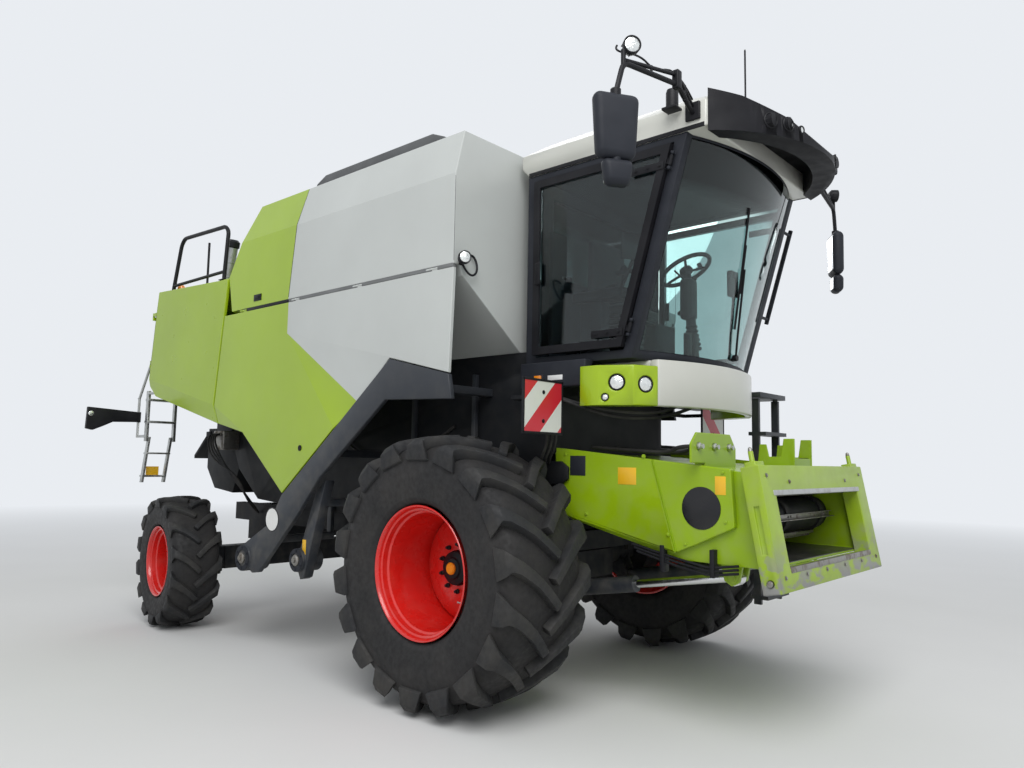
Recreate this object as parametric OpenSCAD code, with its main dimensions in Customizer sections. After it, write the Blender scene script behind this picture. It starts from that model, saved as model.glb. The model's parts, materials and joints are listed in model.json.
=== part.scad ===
// Combine harvester with its feeder house but without a header.
// X runs from the right side (-X) to the left side (+X), the front looks to -Y and Z = 0 is the ground.
// Inside at_axle() the front axle stands over Y = 0.

/* [Wheels] */
// Rolling radius of a front tyre out to its lugs
front_tyre_r = 905; // [850:5:930]
// Width of a front tyre
front_tyre_w = 800; // [700:10:810]
// Radius of the front rim at its flange
front_rim_r = 435; // [410:5:450]
// Distance from the middle of the machine to the middle of a front tyre
front_wheel_x = 1345; // [1340:5:1400]
// Rolling radius of a rear tyre out to its lugs
rear_tyre_r = 620; // [560:5:640]
// Width of a rear tyre
rear_tyre_w = 460; // [380:10:480]
// Radius of the rear rim at its flange
rear_rim_r = 330; // [300:5:340]
// Distance from the middle of the machine to the middle of a rear tyre
rear_wheel_x = 1500; // [1480:5:1540]
// Distance between the front and the rear axle
wheelbase = 3660; // [3600:10:3800]
// Angle to which the rear wheels are steered as the machine is parked
steer_rest = -8; // [-12:1:12]

/* [Body] */
// Half of the width over the side panels
body_half = 1500; // [1480:5:1520]
// Half of the width of the threshing housing
core_half = 790; // [760:5:800]
// Thickness of a side panel or tank wall
panel_t = 30; // [20:1:40]
// Height of the long groove between the tank and the side panels
groove_z = 2970; // [2940:5:3000]
// Height of the fold in the tank side
fold_z = 3620; // [3560:5:3660]
// Height of the top of the tank
tank_z = 3950; // [3900:5:4000]
// Half of the width of the tank at its top
tank_top_half = 1420; // [1380:5:1440]
// Distance from the front axle back to the front face of the tank, negative towards the front
tank_front_y = -70; // [-90:5:-60]
// Distance from the front axle back to the rear top edge of the tank
tank_rear_y = 2600; // [2500:10:2650]
// Height of the engine deck
deck_z = 3350; // [3300:5:3380]
// Distance from the front axle back to the rear edge of the hood
hood_rear_y = 4600; // [4550:10:4650]
// Width of the gap between two panels
panel_gap = 20; // [14:1:24]

/* [Cab] */
// Half of the width of the cab
cab_half = 850; // [830:5:860]
// Height of the underside of the cab
cab_low_z = 2320; // [2310:5:2330]
// Height of the top of the cab sides
cab_high_z = 3740; // [3700:5:3780]
// Distance from the front axle to the rear wall of the cab
cab_rear_y = -180; // [-200:5:-150]
// Distance from the front axle to the foot of the windscreen
screen_low_y = -1085; // [-1110:5:-1060]
// Distance from the front axle to the head of the windscreen
screen_high_y = -1500; // [-1540:5:-1480]
// How far the windscreen bulges forwards in its middle
screen_bulge = 150; // [100:10:180]
// Height of the top of the roof
roof_z = 4060; // [4020:5:4100]

/* [Feeder house] */
// Half of the width of the feeder channel
feeder_half = 745; // [700:5:750]
// Half of the width of the front frame
frame_half = 880; // [860:5:900]
// Height of the feeder pivot
feeder_pivot_z = 1560; // [1550:5:1580]
// Distance from the front axle forwards to the feeder pivot
feeder_pivot_y = -500; // [-520:5:-480]
// Half of the width of the mouth in the front frame
mouth_half = 700; // [660:5:710]
// Height of the mouth in the front frame
mouth_h = 430; // [400:5:440]
// Lean of the front frame
frame_lean = 10.5; // [9:0.5:12]

/* [Unloading auger] */
// Distance from the middle of the machine to the swivel axis of the auger
auger_inset = 230; // [220:5:235]
// Distance from the front axle back to the swivel axis of the auger
auger_y = 330; // [300:10:360]
// Height of the auger tube
auger_z = 3640; // [3630:5:3680]
// Diameter of the auger tube
auger_d = 330; // [300:5:340]
// Length of the auger from its swivel axis to the end of its spout
auger_l = 4560; // [4400:10:4600]

/* [Rear] */
// Distance from the front axle back to the rear face of the chopper
chopper_rear_y = 4640; // [4600:10:4680]
// Distance from the front axle back to the rear ladder
rear_ladder_y = 4800; // [4780:5:4830]
// Distance from the front axle back to the lamp arm
lamp_arm_y = 4985; // [4960:5:5000]

/* [Hidden] */

// Colours as the machine shows them.
green = "yellowgreen";
pale = "gainsboro";
dark = "dimgray";
black = "black";
red = "orangered";
steel = "silver";
glass = "darkslategray";
seat_cloth = "gray";
amber = "orange";
white = "white";

// The frame of the feeder house and the lamp arms set the middle of the machine.
frame_top_z = 1640;
frame_front_y = -1950;
frame_h = 720;
frame_t = 110;
lamp_arm_t = 60;
front_reach = frame_h * sin(frame_lean) - frame_front_y;
rear_reach = lamp_arm_y + lamp_arm_t / 2;
axle_y = (front_reach - rear_reach) / 2;
rear_axle_y = wheelbase;

$fn = 48;
fit = 0.3;
sheet = 12;
eps = 1;
knee_lap = 0.5;

// Chassis and axles.
rail_x = 640;
rail_w = 100;
rail_low_z = 960;
rail_h = 180;
rail_front_y = -330;
rail_rear_y = 4100;
rail_top_z = rail_low_z + rail_h;
axle_tube_r = 115;
final_drive_r = 250;
final_drive_w = 230;
final_drive_x = 700;
hub_r = 150;
front_hub_x = front_wheel_x - front_tyre_w / 2 + 30;
kingpin_x = 1160;
kingpin_r = 45;
kingpin_h = 230;
steer_limit = 40;

// Lift cylinders.
lift_x = 560;
lift_base_y = -130;
lift_base_z = 690;
lift_eye_y = -1660;
lift_eye_z = 950;
lift_barrel_r = 55;
lift_rod_r = 28;
lift_eye_r = 50;
lift_eye_w = 70;
lift_pin_r = 20;
lift_dy = lift_eye_y - lift_base_y;
lift_dz = lift_eye_z - lift_base_z;
lift_len = sqrt(lift_dy * lift_dy + lift_dz * lift_dz);
lift_angle = atan2(lift_dz, -lift_dy);
lift_barrel_len = 830;

// Side panels, seen from the side as points of Y and Z.
gap_top = [2990, deck_z - 33];
gap_low = [3150, 2110];
gap_slope = (gap_low[0] - gap_top[0]) / (gap_top[1] - gap_low[1]);
band_front = [-43, 2227];
band_peak = [583, 2374];
band_mid = [1667, 1539];
panel_apex = [1930, 1337];
panel_toe = [2611, 1850];
panel_heel = [3092, 1937];
fold_apex = [1952, 2686];
fold_foot = [1240, 1867];
fold_lean = 7;
dent_lean = 12;
low_lean = 10;
fold_depth = 70;
fold_reach = 6000;
tank_rear_fold_y = 2790;
lid_t = 20;
lid_gap = 16;
lid_front_y = 180;
lid_rear_y = 1780;
auger_x = body_half - auger_inset;
tank_left_x = auger_x - auger_d / 2 - 55;
lid_right_x = -tank_top_half + 35;
lid_left_x = tank_left_x - 35;
lid_mid_x = (lid_right_x + lid_left_x) / 2;
hopper_z = 2440;

// Cab.
pillar = 70;
screen_slope = (screen_low_y - screen_high_y) / (cab_high_z - cab_low_z);
screen_t = 10;
lip_inset = 3;
sill_h = 60;
grab_x = 985;
grab_z = [2830, 3500];
grab_r = 17;
grab_end = 40;
grab_lead = 18;
function post_mid_y(z) = screen_low_y + 38 - screen_slope * (z - cab_low_z);
// The grab rail stands a little in front of the post's middle, clear of the opened door.
function grab_y(z) = post_mid_y(z) - grab_lead;
function grab_at(z) = [grab_x, grab_y(z), z];
door_t = 40;
door_rear_y = cab_rear_y - 90;
door_low_z = cab_low_z + sill_h;
door_high_z = cab_high_z - 20;
door_foot_z = door_low_z + 15;
door_head_z = door_high_z - 45;

// Feeder house
feeder_wall = 20;
shield_t = 40;
pivot_r = 40;
pivot_ear_x = feeder_half + feeder_wall + shield_t + 8;
function frame_rear_y(z) = frame_front_y + frame_t / cos(frame_lean) - (frame_top_z - z) * tan(frame_lean);

// Hinge line of the cab door and of the side window
hinge_x = cab_half + 24;
hinge_r = 13;
hinge_pin_r = 6;
hinge_len = 60;
hinge_low_z = door_low_z + 110;
hinge_high_z = door_high_z - 180;
function hinge_at(z) = [hinge_x, screen_low_y + 40 - screen_slope * (z - door_low_z), z];

// Rims
flange_h = 22;
rim_share = 0.43;
kingpin_boss_r = kingpin_r + 32;
rear_seat_z = rear_tyre_r + 150;
tow_r = 16.5;
tow_y = rail_rear_y + 110;
tow_z = rail_low_z + 25;
tow_h = 95;
lid_pivot_z = tank_z + 25;
lid_h = 90;
lid_edge = 35;
lid_bevel = 130;
ledge_z = groove_z + 110;
lamp_post_x = body_half - 76;

module at_axle() { translate([0, axle_y, 0]) children(); }

// A plate whose outline is given as points of Y and Z, from x to x + t.
module plate_yz(points, x, t)
    translate([x, 0, 0]) rotate([90, 0, 90]) linear_extrude(t) polygon(points);

// A plate whose outline is given as points of X and Z, from y to y + t.
module plate_xz(points, y, t)
    translate([0, y + t, 0]) rotate([90, 0, 0]) linear_extrude(t) polygon(points);

// A box between two corners.
module block(a, b)
    translate([min(a[0], b[0]), min(a[1], b[1]), min(a[2], b[2])])
        cube([abs(a[0] - b[0]), abs(a[1] - b[1]), abs(a[2] - b[2])]);

// A round bar between two points.
module bar(a, b, r) {
    v = b - a;
    len = norm(v);
    translate(a)
        rotate([0, acos(v[2] / len), atan2(v[1], v[0])])
            cylinder(h = len, r = r);
}

// A bent round bar through a list of points.
module bent_bar(points, r) {
    last = len(points) - 1;
    for (i = [0 : last - 1]) {
        v = points[i + 1] - points[i];
        lap = v * (knee_lap * r / norm(v));
        bar(points[i] - (i > 0 ? lap : 0 * lap), points[i + 1] + (i < last - 1 ? lap : 0 * lap), r);
    }
}

// A cylinder along X between two values of X.
module along_x(x0, x1, y, z, r)
    translate([min(x0, x1), y, z]) rotate([0, 90, 0]) cylinder(h = abs(x1 - x0), r = r);

module both_sides() {
    children();
    mirror([1, 0, 0]) children();
}

// Wheels

// A point of a tyre from its radius, its angle from the lowest point and its place across the tyre.
function on_tyre(r, angle, x) = [r * cos(angle), r * sin(angle), x];

// One lug: a bar between two stations, each with its share of the half width and of the sweep,
// and its height.
module lug(r, w, h, len) {
    stations = [[-0.06, 1, 0.96], [0.94, 0, 1]];
    foot = 0.7;
    hull() polyhedron([for (s = stations, k = [-1, 1], top = [0, 1])
        on_tyre(r - (top == 1 ? h * (1 - s[2]) : h * (1 + foot)),
            lug_sweep * s[1] + k * len * (top == 1 ? 0.5 : 0.7) * 180 / PI / r, w / 2 * s[0])],
        [[0, 2, 3, 1], [0, 1, 5, 4], [1, 3, 7, 5], [3, 2, 6, 7], [2, 0, 4, 6], [4, 5, 7, 6]]);
}

// A tyre with two rows of lugs; one lug of the outer row stands on the ground.
module tyre(x, y, z, r, w, rim_r, lug_n, lug_h, lug_w) {
    tip = r / cos(lug_w / 2 * 180 / PI / r);
    crown = r - lug_h;
    wall = w * 0.06;
    bead = w * rim_share - 26;
    round_up = 1 / cos(180 / lug_n);
    side = [[(rim_r - flange_h + fit) * round_up, bead], [(rim_r + fit) * round_up, bead + 12],
        [(crown + rim_r) / 2, w / 2], [crown, w / 2 - wall * 1.2]];
    back = [for (i = [len(side) - 1 : -1 : 0]) [side[i][0], -side[i][1]]];
    translate([x, y, z]) rotate([0, 90, 0]) {
        rotate_extrude($fn = lug_n) polygon(concat(side, back));
        for (i = [0 : lug_n - 1]) {
            rotate([0, 0, i * 360 / lug_n]) lug(tip, w, lug_h, lug_w);
            rotate([0, 0, (i + 0.5) * 360 / lug_n]) mirror([0, 0, 1]) lug(tip, w, lug_h, lug_w);
        }
    }
}

// A rim dish whose outer face looks to +X; disc_x is the plane of its bolted disc.
module rim(x, y, z, w, rim_r, disc_x, bolt_r) {
    flange = flange_h;
    wall = 14;
    half = w * rim_share;
    inner = rim_r - flange - wall;
    step = 10;
    translate([x, y, z]) rotate([0, 90, 0]) {
        rotate_extrude($fn = 96)
            polygon([[rim_r - 14, -half], [rim_r, -half], [rim_r, -half + 12], [rim_r - flange, -half + 22],
                [rim_r - flange, half - 22], [rim_r, half - 12], [rim_r, half], [rim_r - 14, half],
                [inner + 4, half - 24], [inner + 4, half - 70], [inner - step, half - 90],
                [inner - step, -half + 90], [inner + 4, -half + 70], [inner + 4, -half + 24]]);
        difference() {
            rotate_extrude($fn = 96)
                polygon([[0, disc_x - 18], [bolt_r * 1.35, disc_x - 18], [inner * 0.8, disc_x - 50],
                    [inner + 2, disc_x - 50], [inner + 2, disc_x - 20], [inner * 0.8, disc_x - 20],
                    [bolt_r * 1.35, disc_x + 12], [0, disc_x + 12]]);
            for (i = [0 : 9]) rotate([0, 0, i * 36]) translate([bolt_r * 1.75, 0, disc_x - 60])
                cylinder(h = 90, r = bolt_r * 0.12);
        }
        translate([0, 0, disc_x + 12]) cylinder(h = 60, r = bolt_r * 0.8);
    }
}

module front_tyre(side)
    at_axle() mirror([side < 0 ? 1 : 0, 0, 0])
        tyre(front_wheel_x, 0, front_tyre_r, front_tyre_r, front_tyre_w, front_rim_r,
            front_lug_n, front_lug_h, front_lug_w);

module front_rim(side)
    at_axle() mirror([side < 0 ? 1 : 0, 0, 0])
        rim(front_wheel_x, 0, front_tyre_r, front_tyre_w, front_rim_r, front_disc, hub_r);

module rear_steered(side)
    at_axle() translate([side * kingpin_x, rear_axle_y, 0]) rotate([0, 0, steer_rest])
        translate([-side * kingpin_x, -rear_axle_y, 0])
            mirror([side < 0 ? 1 : 0, 0, 0]) children();

lug_sweep = 20;
front_lug_n = 18;
front_lug_h = 52;
front_lug_w = 74;
rear_lug_n = 14;
rear_lug_h = 38;
rear_lug_w = 52;
front_disc = -40;
rear_disc = -20;
rear_hub_r = 105;

module front_tyre_right() { color(black) front_tyre(-1); }
module front_tyre_left() { color(black) front_tyre(1); }
module front_rim_right() { color(red) front_rim(-1); }
module front_rim_left() { color(red) front_rim(1); }

module rear_tyre_right() {
    color(black) rear_steered(-1)
        tyre(rear_wheel_x, rear_axle_y, rear_tyre_r, rear_tyre_r, rear_tyre_w, rear_rim_r,
            rear_lug_n, rear_lug_h, rear_lug_w);
}
module rear_tyre_left() {
    color(black) rear_steered(1)
        tyre(rear_wheel_x, rear_axle_y, rear_tyre_r, rear_tyre_r, rear_tyre_w, rear_rim_r,
            rear_lug_n, rear_lug_h, rear_lug_w);
}
module rear_rim_right() {
    color(red) rear_steered(-1)
        rim(rear_wheel_x, rear_axle_y, rear_tyre_r, rear_tyre_w, rear_rim_r, rear_disc, rear_hub_r);
}
module rear_rim_left() {
    color(red) rear_steered(1)
        rim(rear_wheel_x, rear_axle_y, rear_tyre_r, rear_tyre_w, rear_rim_r, rear_disc, rear_hub_r);
}

// A steering knuckle: the fork holds the kingpin, the hub carries the wheel.
module knuckle(side) {
    cheek = 40;
    web_x = kingpin_x + kingpin_boss_r + 7;
    web_end = web_x + 46;
    cheek_z = kingpin_h / 2 + cheek / 2 + 3;
    fork_z = cheek_z + cheek / 2;
    hub_end = rear_wheel_x + rear_disc - 18 - fit;
    color(dark) rear_steered(side) {
        translate([kingpin_x, rear_axle_y, rear_tyre_r - cheek_z]) cylinder(h = 2 * cheek_z, r = kingpin_r);
        for (s = [-1, 1]) {
            translate([kingpin_x, rear_axle_y, rear_tyre_r + s * cheek_z])
                cylinder(h = cheek, r = kingpin_r + 35, center = true);
            translate([(kingpin_x + web_end) / 2, rear_axle_y, rear_tyre_r + s * cheek_z])
                cube([web_end - kingpin_x, 110, cheek], center = true);
        }
        block([web_x, rear_axle_y - 70, rear_tyre_r - fork_z],
            [web_end, rear_axle_y + 70, rear_tyre_r + fork_z]);
        along_x(web_end - eps, hub_end, rear_axle_y, rear_tyre_r, rear_hub_r);
        block([kingpin_x - 20, rear_axle_y + 50, rear_tyre_r - fork_z],
            [kingpin_x + 80, rear_axle_y + 190, rear_tyre_r - fork_z + cheek - 4]);
    }
}
module knuckle_right() { knuckle(-1); }
module knuckle_left() { knuckle(1); }

// Chassis and axles

module chassis() {
    rail_half = rail_w / 2;
    color(dark) at_axle() difference() {
        union() {
            both_sides() block([rail_x - rail_half, rail_front_y, rail_low_z],
                [rail_x + rail_half, rail_rear_y, rail_top_z]);
            for (y = [rail_front_y, 1300, 2600, rail_rear_y - 120])
                block([-rail_x, y, rail_low_z + 20], [rail_x, y + 120, rail_top_z - 20]);
            // Seat of the rear axle beam under the rails
            block([-rail_x - rail_half, rear_axle_y - 160, rear_seat_z],
                [rail_x + rail_half, rear_axle_y + 160, rail_low_z]);
            // Tow jaw
            for (z = [tow_z, tow_z + tow_h - 25])
                block([-90, rail_rear_y - 10, z], [90, tow_y + 50, z + 25]);
        }
        along_x(-rail_x - rail_w, rail_x + rail_w, 0, front_tyre_r, axle_tube_r + fit);
        translate([0, tow_y, tow_z - 10]) cylinder(h = tow_h + 20, r = tow_r);
    }
}

module front_axle() {
    clevis = [[lift_base_y - 55, lift_base_z - 10], [lift_base_y, lift_base_z - 50],
        [lift_base_y + 55, lift_base_z - 10], [60, front_tyre_r - 60], [60, front_tyre_r],
        [-100, front_tyre_r - 20]];
    color(dark) at_axle() {
        along_x(-final_drive_x, final_drive_x, 0, front_tyre_r, axle_tube_r);
        both_sides() {
            along_x(final_drive_x, final_drive_x + final_drive_w, 0, front_tyre_r, final_drive_r);
            along_x(final_drive_x + final_drive_w - eps, front_wheel_x + front_disc - 18 - fit, 0,
                front_tyre_r, hub_r * 1.2);
            block([rail_x - 90, -150, front_tyre_r], [rail_x + 90, 150, rail_low_z]);
            // Clevis that holds the lift cylinder
            for (s = [-1, 1]) plate_yz(clevis, lift_x + s * (lift_eye_w / 2 + 16) - 12, 24);
            along_x(lift_x - lift_eye_w / 2 - 30, lift_x + lift_eye_w / 2 + 30,
                lift_base_y, lift_base_z, lift_pin_r - fit);
        }
        block([-260, -190, front_tyre_r - 170], [260, 190, front_tyre_r + 40]);
    }
}

module rear_axle() {
    beam_h = kingpin_h - 8;
    color(dark) at_axle() difference() {
        union() {
            block([-kingpin_x + 90, rear_axle_y - 75, rear_tyre_r - beam_h / 2],
                [kingpin_x - 90, rear_axle_y + 75, rear_tyre_r + beam_h / 2]);
            both_sides() translate([kingpin_x, rear_axle_y, rear_tyre_r - beam_h / 2])
                cylinder(h = beam_h, r = kingpin_r + 32);
            both_sides() block([kingpin_x - 120, rear_axle_y - 60, rear_tyre_r - beam_h / 2],
                [kingpin_x, rear_axle_y + 60, rear_tyre_r + beam_h / 2]);
            block([-130, rear_axle_y - 110, rear_tyre_r], [130, rear_axle_y + 110, rear_tyre_r + 150]);
        }
        both_sides() translate([kingpin_x, rear_axle_y, rear_tyre_r - beam_h])
            cylinder(h = beam_h * 2, r = kingpin_r + fit);
    }
}

// Threshing housing: a closed sheet body with the feeder opening at its front and the straw outlet behind.
core_front_y = -330;
pulleys = [[3480, 2010, 230, 46], [4020, 2140, 120, 40], [3130, 1610, 120, 50], [2480, 1700, 190, 40]];
core_low_z = rail_top_z;
core_high_z = hopper_z;
straw_top_z = deck_z - 420;
module threshing_body() {
    step_y = cab_rear_y + 20;
    outer = [[core_front_y, core_low_z + 60], [core_front_y, cab_low_z], [step_y, cab_low_z],
        [step_y, core_high_z], [2700, core_high_z], [3000, straw_top_z],
        [4150, straw_top_z], [4150, 1950], [3900, 1500], [3500, core_low_z + 60],
        [2600, core_low_z], [200, core_low_z]];
    inner = [[core_front_y + sheet, core_low_z + 72], [core_front_y + sheet, cab_low_z - sheet],
        [step_y + sheet, cab_low_z - sheet], [step_y + sheet, core_high_z - sheet],
        [2695, core_high_z - sheet], [2995, straw_top_z - sheet], [4160, straw_top_z - sheet], [4160, 1950],
        [3890, 1512], [3494, core_low_z + 72], [2600, core_low_z + sheet], [206, core_low_z + sheet]];
    color(dark) at_axle() {
        difference() {
            plate_yz(outer, -core_half, 2 * core_half);
            plate_yz(inner, -core_half + sheet, 2 * (core_half - sheet));
            block([-feeder_half + 20, core_front_y - 20, feeder_pivot_z - 290],
                [feeder_half - 20, core_front_y + 40, feeder_pivot_z + 130]);
        }
        feeder_pivots();
        plate_bars();
        // Drive pulleys on both sides: place, radius and width
        both_sides() for (p = pulleys) {
            along_x(core_half - eps, core_half + 20, p[0], p[1], p[2] * 0.35);
            along_x(core_half + 19, core_half + 19 + p[3], p[0], p[1], p[2]);
        }
    }
}

// Ears with the pins on which the feeder house turns
module feeder_pivots() {
    ear = [[feeder_pivot_y - 60, feeder_pivot_z - 40], [feeder_pivot_y - 60, feeder_pivot_z + 40],
        [feeder_pivot_y, feeder_pivot_z + 80], [core_front_y + 130, feeder_pivot_z + 80],
        [core_front_y + 130, feeder_pivot_z - 80], [feeder_pivot_y, feeder_pivot_z - 80]];
    both_sides() {
        plate_yz(ear, pivot_ear_x, 24);
        block([core_half, core_front_y + 10, feeder_pivot_z - 80],
            [pivot_ear_x + 24, core_front_y + 130, feeder_pivot_z + 80]);
        along_x(feeder_half + 2, pivot_ear_x + 24, feeder_pivot_y, feeder_pivot_z, pivot_r - fit);
    }
}

// Grain tank

tank_side_x = body_half;
tank_reach = 3200;
corner_lamp_x = 55 - tank_side_x;
corner_lamp_r = 42;
module tank_outline(inset) {
    top = tank_z + (inset > 0 ? eps : 0);
    low = hopper_z + inset;
    lip = groove_z + 10 + inset;
    lip_x = tank_side_x - 60;
    foot = [tank_side_x - 90 - inset * 1.3, groove_z - 60 + inset * 0.6];
    intersection() {
        plate_xz([[-tank_side_x + inset, lip], [-tank_side_x + inset, fold_z],
            [-tank_top_half + inset, top], [tank_left_x - inset, top],
                [tank_left_x - inset, ledge_z - inset],
            [tank_side_x - inset, ledge_z - inset], [tank_side_x - inset, lip], [lip_x - inset, lip], foot,
            [core_half - inset, low], [-core_half + inset, low], [-foot[0], foot[1]], [inset - lip_x, lip]],
            tank_front_y + inset, tank_reach - 2 * inset);
        plate_yz([[tank_front_y + inset, low], [tank_front_y + inset, top], [tank_rear_y - inset, top],
            [tank_rear_fold_y - inset, fold_z], [gap_top[0] - inset, gap_top[1]],
            [gap_top[0] - 85 - inset, groove_z - 10], [2700 - inset, low]], -2000, 4000);
    }
}
module grain_tank() {
    color(pale) at_axle() {
        difference() {
            tank_outline(0);
            difference() {
                tank_outline(panel_t);
                // The tank roof stays round the filling opening.
                difference() {
                    block([-2000, tank_front_y - 10, tank_z - panel_t], [2000, tank_front_y + tank_reach, tank_z + 10]);
                    block([lid_right_x + 60, lid_front_y + 60, tank_z - 60],
                        [lid_left_x - 60, lid_rear_y - 60, tank_z + 20]);
                }
            }
        }
        groove_hinges();
        // Work lamp at the front right corner
        block([corner_lamp_x - 15, tank_front_y - 40, groove_z + 30],
            [corner_lamp_x + 15, tank_front_y + 10, groove_z + 60]);
        translate([corner_lamp_x, tank_front_y - 39, groove_z + 45]) rotate([90, 0, -30])
            cylinder(h = 50, r = corner_lamp_r);
    }
}

module tank_lid(x_hinge, x_end) {
    x0 = min(x_hinge, x_end);
    x1 = max(x_hinge, x_end);
    y0 = lid_front_y;
    y1 = lid_rear_y;
    shell = [[y0, 0], [y0, lid_edge], [y0 + lid_bevel, lid_h], [y1 - lid_bevel, lid_h], [y1, lid_edge],
        [y1, 0]];
    room = [[y0 + lid_t, -eps], [y0 + lid_t, lid_edge - lid_t / 2], [y0 + lid_bevel, lid_h - lid_t],
        [y1 - lid_bevel, lid_h - lid_t], [y1 - lid_t, lid_edge - lid_t / 2], [y1 - lid_t, -eps]];
    color(dark) at_axle() translate([0, 0, tank_z + fit]) difference() {
        plate_yz(shell, x0, x1 - x0);
        plate_yz(room, x0 + lid_t, x1 - x0 - 2 * lid_t);
    }
}
module tank_lid_right() { tank_lid(lid_right_x, lid_mid_x - lid_gap / 2); }
module tank_lid_left() { tank_lid(lid_left_x, lid_mid_x + lid_gap / 2); }

// Hood over the engine and the straw walkers
hood_wall = 25;
module hood() {
    deck = [[-body_half + 60, deck_z - 50], [-body_half + 60, deck_z - 10], [-body_half + 72, deck_z],
        [body_half - 72, deck_z], [body_half - 60, deck_z - 10], [body_half - 60, deck_z - 50]];
    color(green) at_axle() {
        plate_xz(deck, gap_top[0] + 10, hood_rear_y - gap_top[0] - 40);
        // Rear wall with the straw outlet below it.
        difference() {
            plate_xz([[-body_half + 60, 2420], [-body_half + 60, deck_z - 50], [body_half - 60, deck_z - 50],
                [body_half - 60, 2420], [core_half + 60, 2250], [-core_half - 60, 2250]],
                hood_rear_y - 30 - hood_wall, hood_wall);
            for (i = [0 : 8]) block([-500, hood_rear_y - 70, 2520 + i * 60],
                [500, hood_rear_y, 2545 + i * 60]);
        }
        // Front frame against the tank.
        both_sides() block([body_half - 110, gap_low[0] + 60, 2300],
            [body_half - 60, gap_low[0] + 110, deck_z - 50 + eps]);
        both_sides() block([core_half, gap_low[0] + 60, 2300], [body_half - 60, gap_low[0] + 85, 2360]);
        both_sides() block([core_half, hood_rear_y - 120, 2300], [body_half - 60, hood_rear_y - 55, 2360]);
        both_sides() block([core_half, gap_low[0] + 60, 2300], [core_half + 25, hood_rear_y - 55, 2360]);
        hood_hinges();
    }
}

// Barrel hinges: the side panels turn on the groove line, the rear panels on the rear edge of the hood.
groove_hinge_x = body_half - 4;
groove_hinge_z = groove_z - 2;
groove_hinge_r = 8;
groove_pin_r = 4;
groove_hinge_y = [150, 1000, 1850, 2700];
groove_hinge_len = 60;
rear_hinge_x = body_half - 15;
rear_hinge_y = hood_rear_y + 12;
rear_hinge_r = 10;
rear_pin_r = 5;
rear_hinge_z = [2560, 3080];
rear_hinge_len = 40;
// Fixed halves of the hinges under the edge of the tank
module groove_hinges() both_sides() for (y = groove_hinge_y) {
    translate([groove_hinge_x, y, groove_hinge_z]) rotate([-90, 0, 0]) {
        cylinder(h = groove_hinge_len, r = groove_hinge_r);
        translate([0, 0, -groove_hinge_len - 2]) cylinder(h = groove_hinge_len + 4, r = groove_pin_r);
    }
    block([groove_hinge_x, y, groove_hinge_z],
        [groove_hinge_x - 20, y + groove_hinge_len, groove_z + 10 + eps]);
}
// Fixed halves of the hinges on the rear edge of the hood
module hood_hinges() both_sides() for (z = rear_hinge_z) {
    block([body_half - 75, hood_rear_y - 30 - eps, z],
        [body_half - 50, rear_hinge_y + rear_hinge_r, z + 2 * rear_hinge_len]);
    block([rear_hinge_x, rear_hinge_y - rear_hinge_r, z],
        [body_half - 60, rear_hinge_y + rear_hinge_r, z + rear_hinge_len]);
    translate([rear_hinge_x, rear_hinge_y, z]) cylinder(h = rear_hinge_len, r = rear_hinge_r);
    translate([rear_hinge_x, rear_hinge_y, z]) cylinder(h = 2 * rear_hinge_len, r = rear_pin_r);
}

// What stands outside a plane that leans in below the line from p to q, on the left side.
module outside_fold(p, q, lean)
    translate([body_half, p[0], p[1]]) rotate([atan2(q[1] - p[1], q[0] - p[0]), 0, 0]) rotate([0, lean, 0])
        translate([0, -fold_reach, -fold_reach]) cube([fold_reach, 2 * fold_reach, fold_reach]);

// A panel of one thickness whose outer face is cut back by the children.
module folded_panel(outline) {
    difference() {
        plate_yz(outline, body_half - panel_t - fold_depth, panel_t + fold_depth);
        children();
        translate([-panel_t, 0, 0]) difference() {
            block([body_half - 2 * fold_depth - panel_t, -500, 1000],
                [body_half, hood_rear_y + 500, deck_z + 200]);
            children();
        }
    }
}

// The dent where two facets of the side panel meet, and its folded lower rear corner.
module side_folds() {
    intersection() {
        outside_fold(band_peak, fold_apex, fold_lean);
        outside_fold(fold_apex, fold_foot, dent_lean);
    }
    intersection() {
        outside_fold(panel_toe, gap_low, low_lean);
        block([body_half - 200, panel_toe[0], 1000], [body_half + 10, gap_low[0] + 100, 3000]);
    }
}

// The lower side panel with its folds; it hangs from the groove.
module side_panel(side) {
    top = groove_z - 15;
    outline = [[tank_front_y, top], [gap_top[0] + gap_slope * (gap_top[1] - top), top],
        gap_low, panel_heel, panel_toe, panel_apex, band_mid, band_peak, band_front];
    color(green) at_axle() mirror([side < 0 ? 1 : 0, 0, 0]) difference() {
        union() {
            folded_panel(outline) side_folds();
            for (y = groove_hinge_y) {
                translate([groove_hinge_x, y - 2, groove_hinge_z]) rotate([90, 0, 0])
                    cylinder(h = groove_hinge_len - 2, r = groove_hinge_r);
                block([body_half, y - groove_hinge_len, top - 20], [body_half - 14, y - 2, groove_hinge_z]);
            }
        }
        translate([groove_hinge_x, tank_front_y, groove_hinge_z]) rotate([-90, 0, 0])
            cylinder(h = 3000, r = groove_pin_r + fit);
    }
}
module side_panel_right() { side_panel(-1); }
module side_panel_left() { side_panel(1); }

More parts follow.
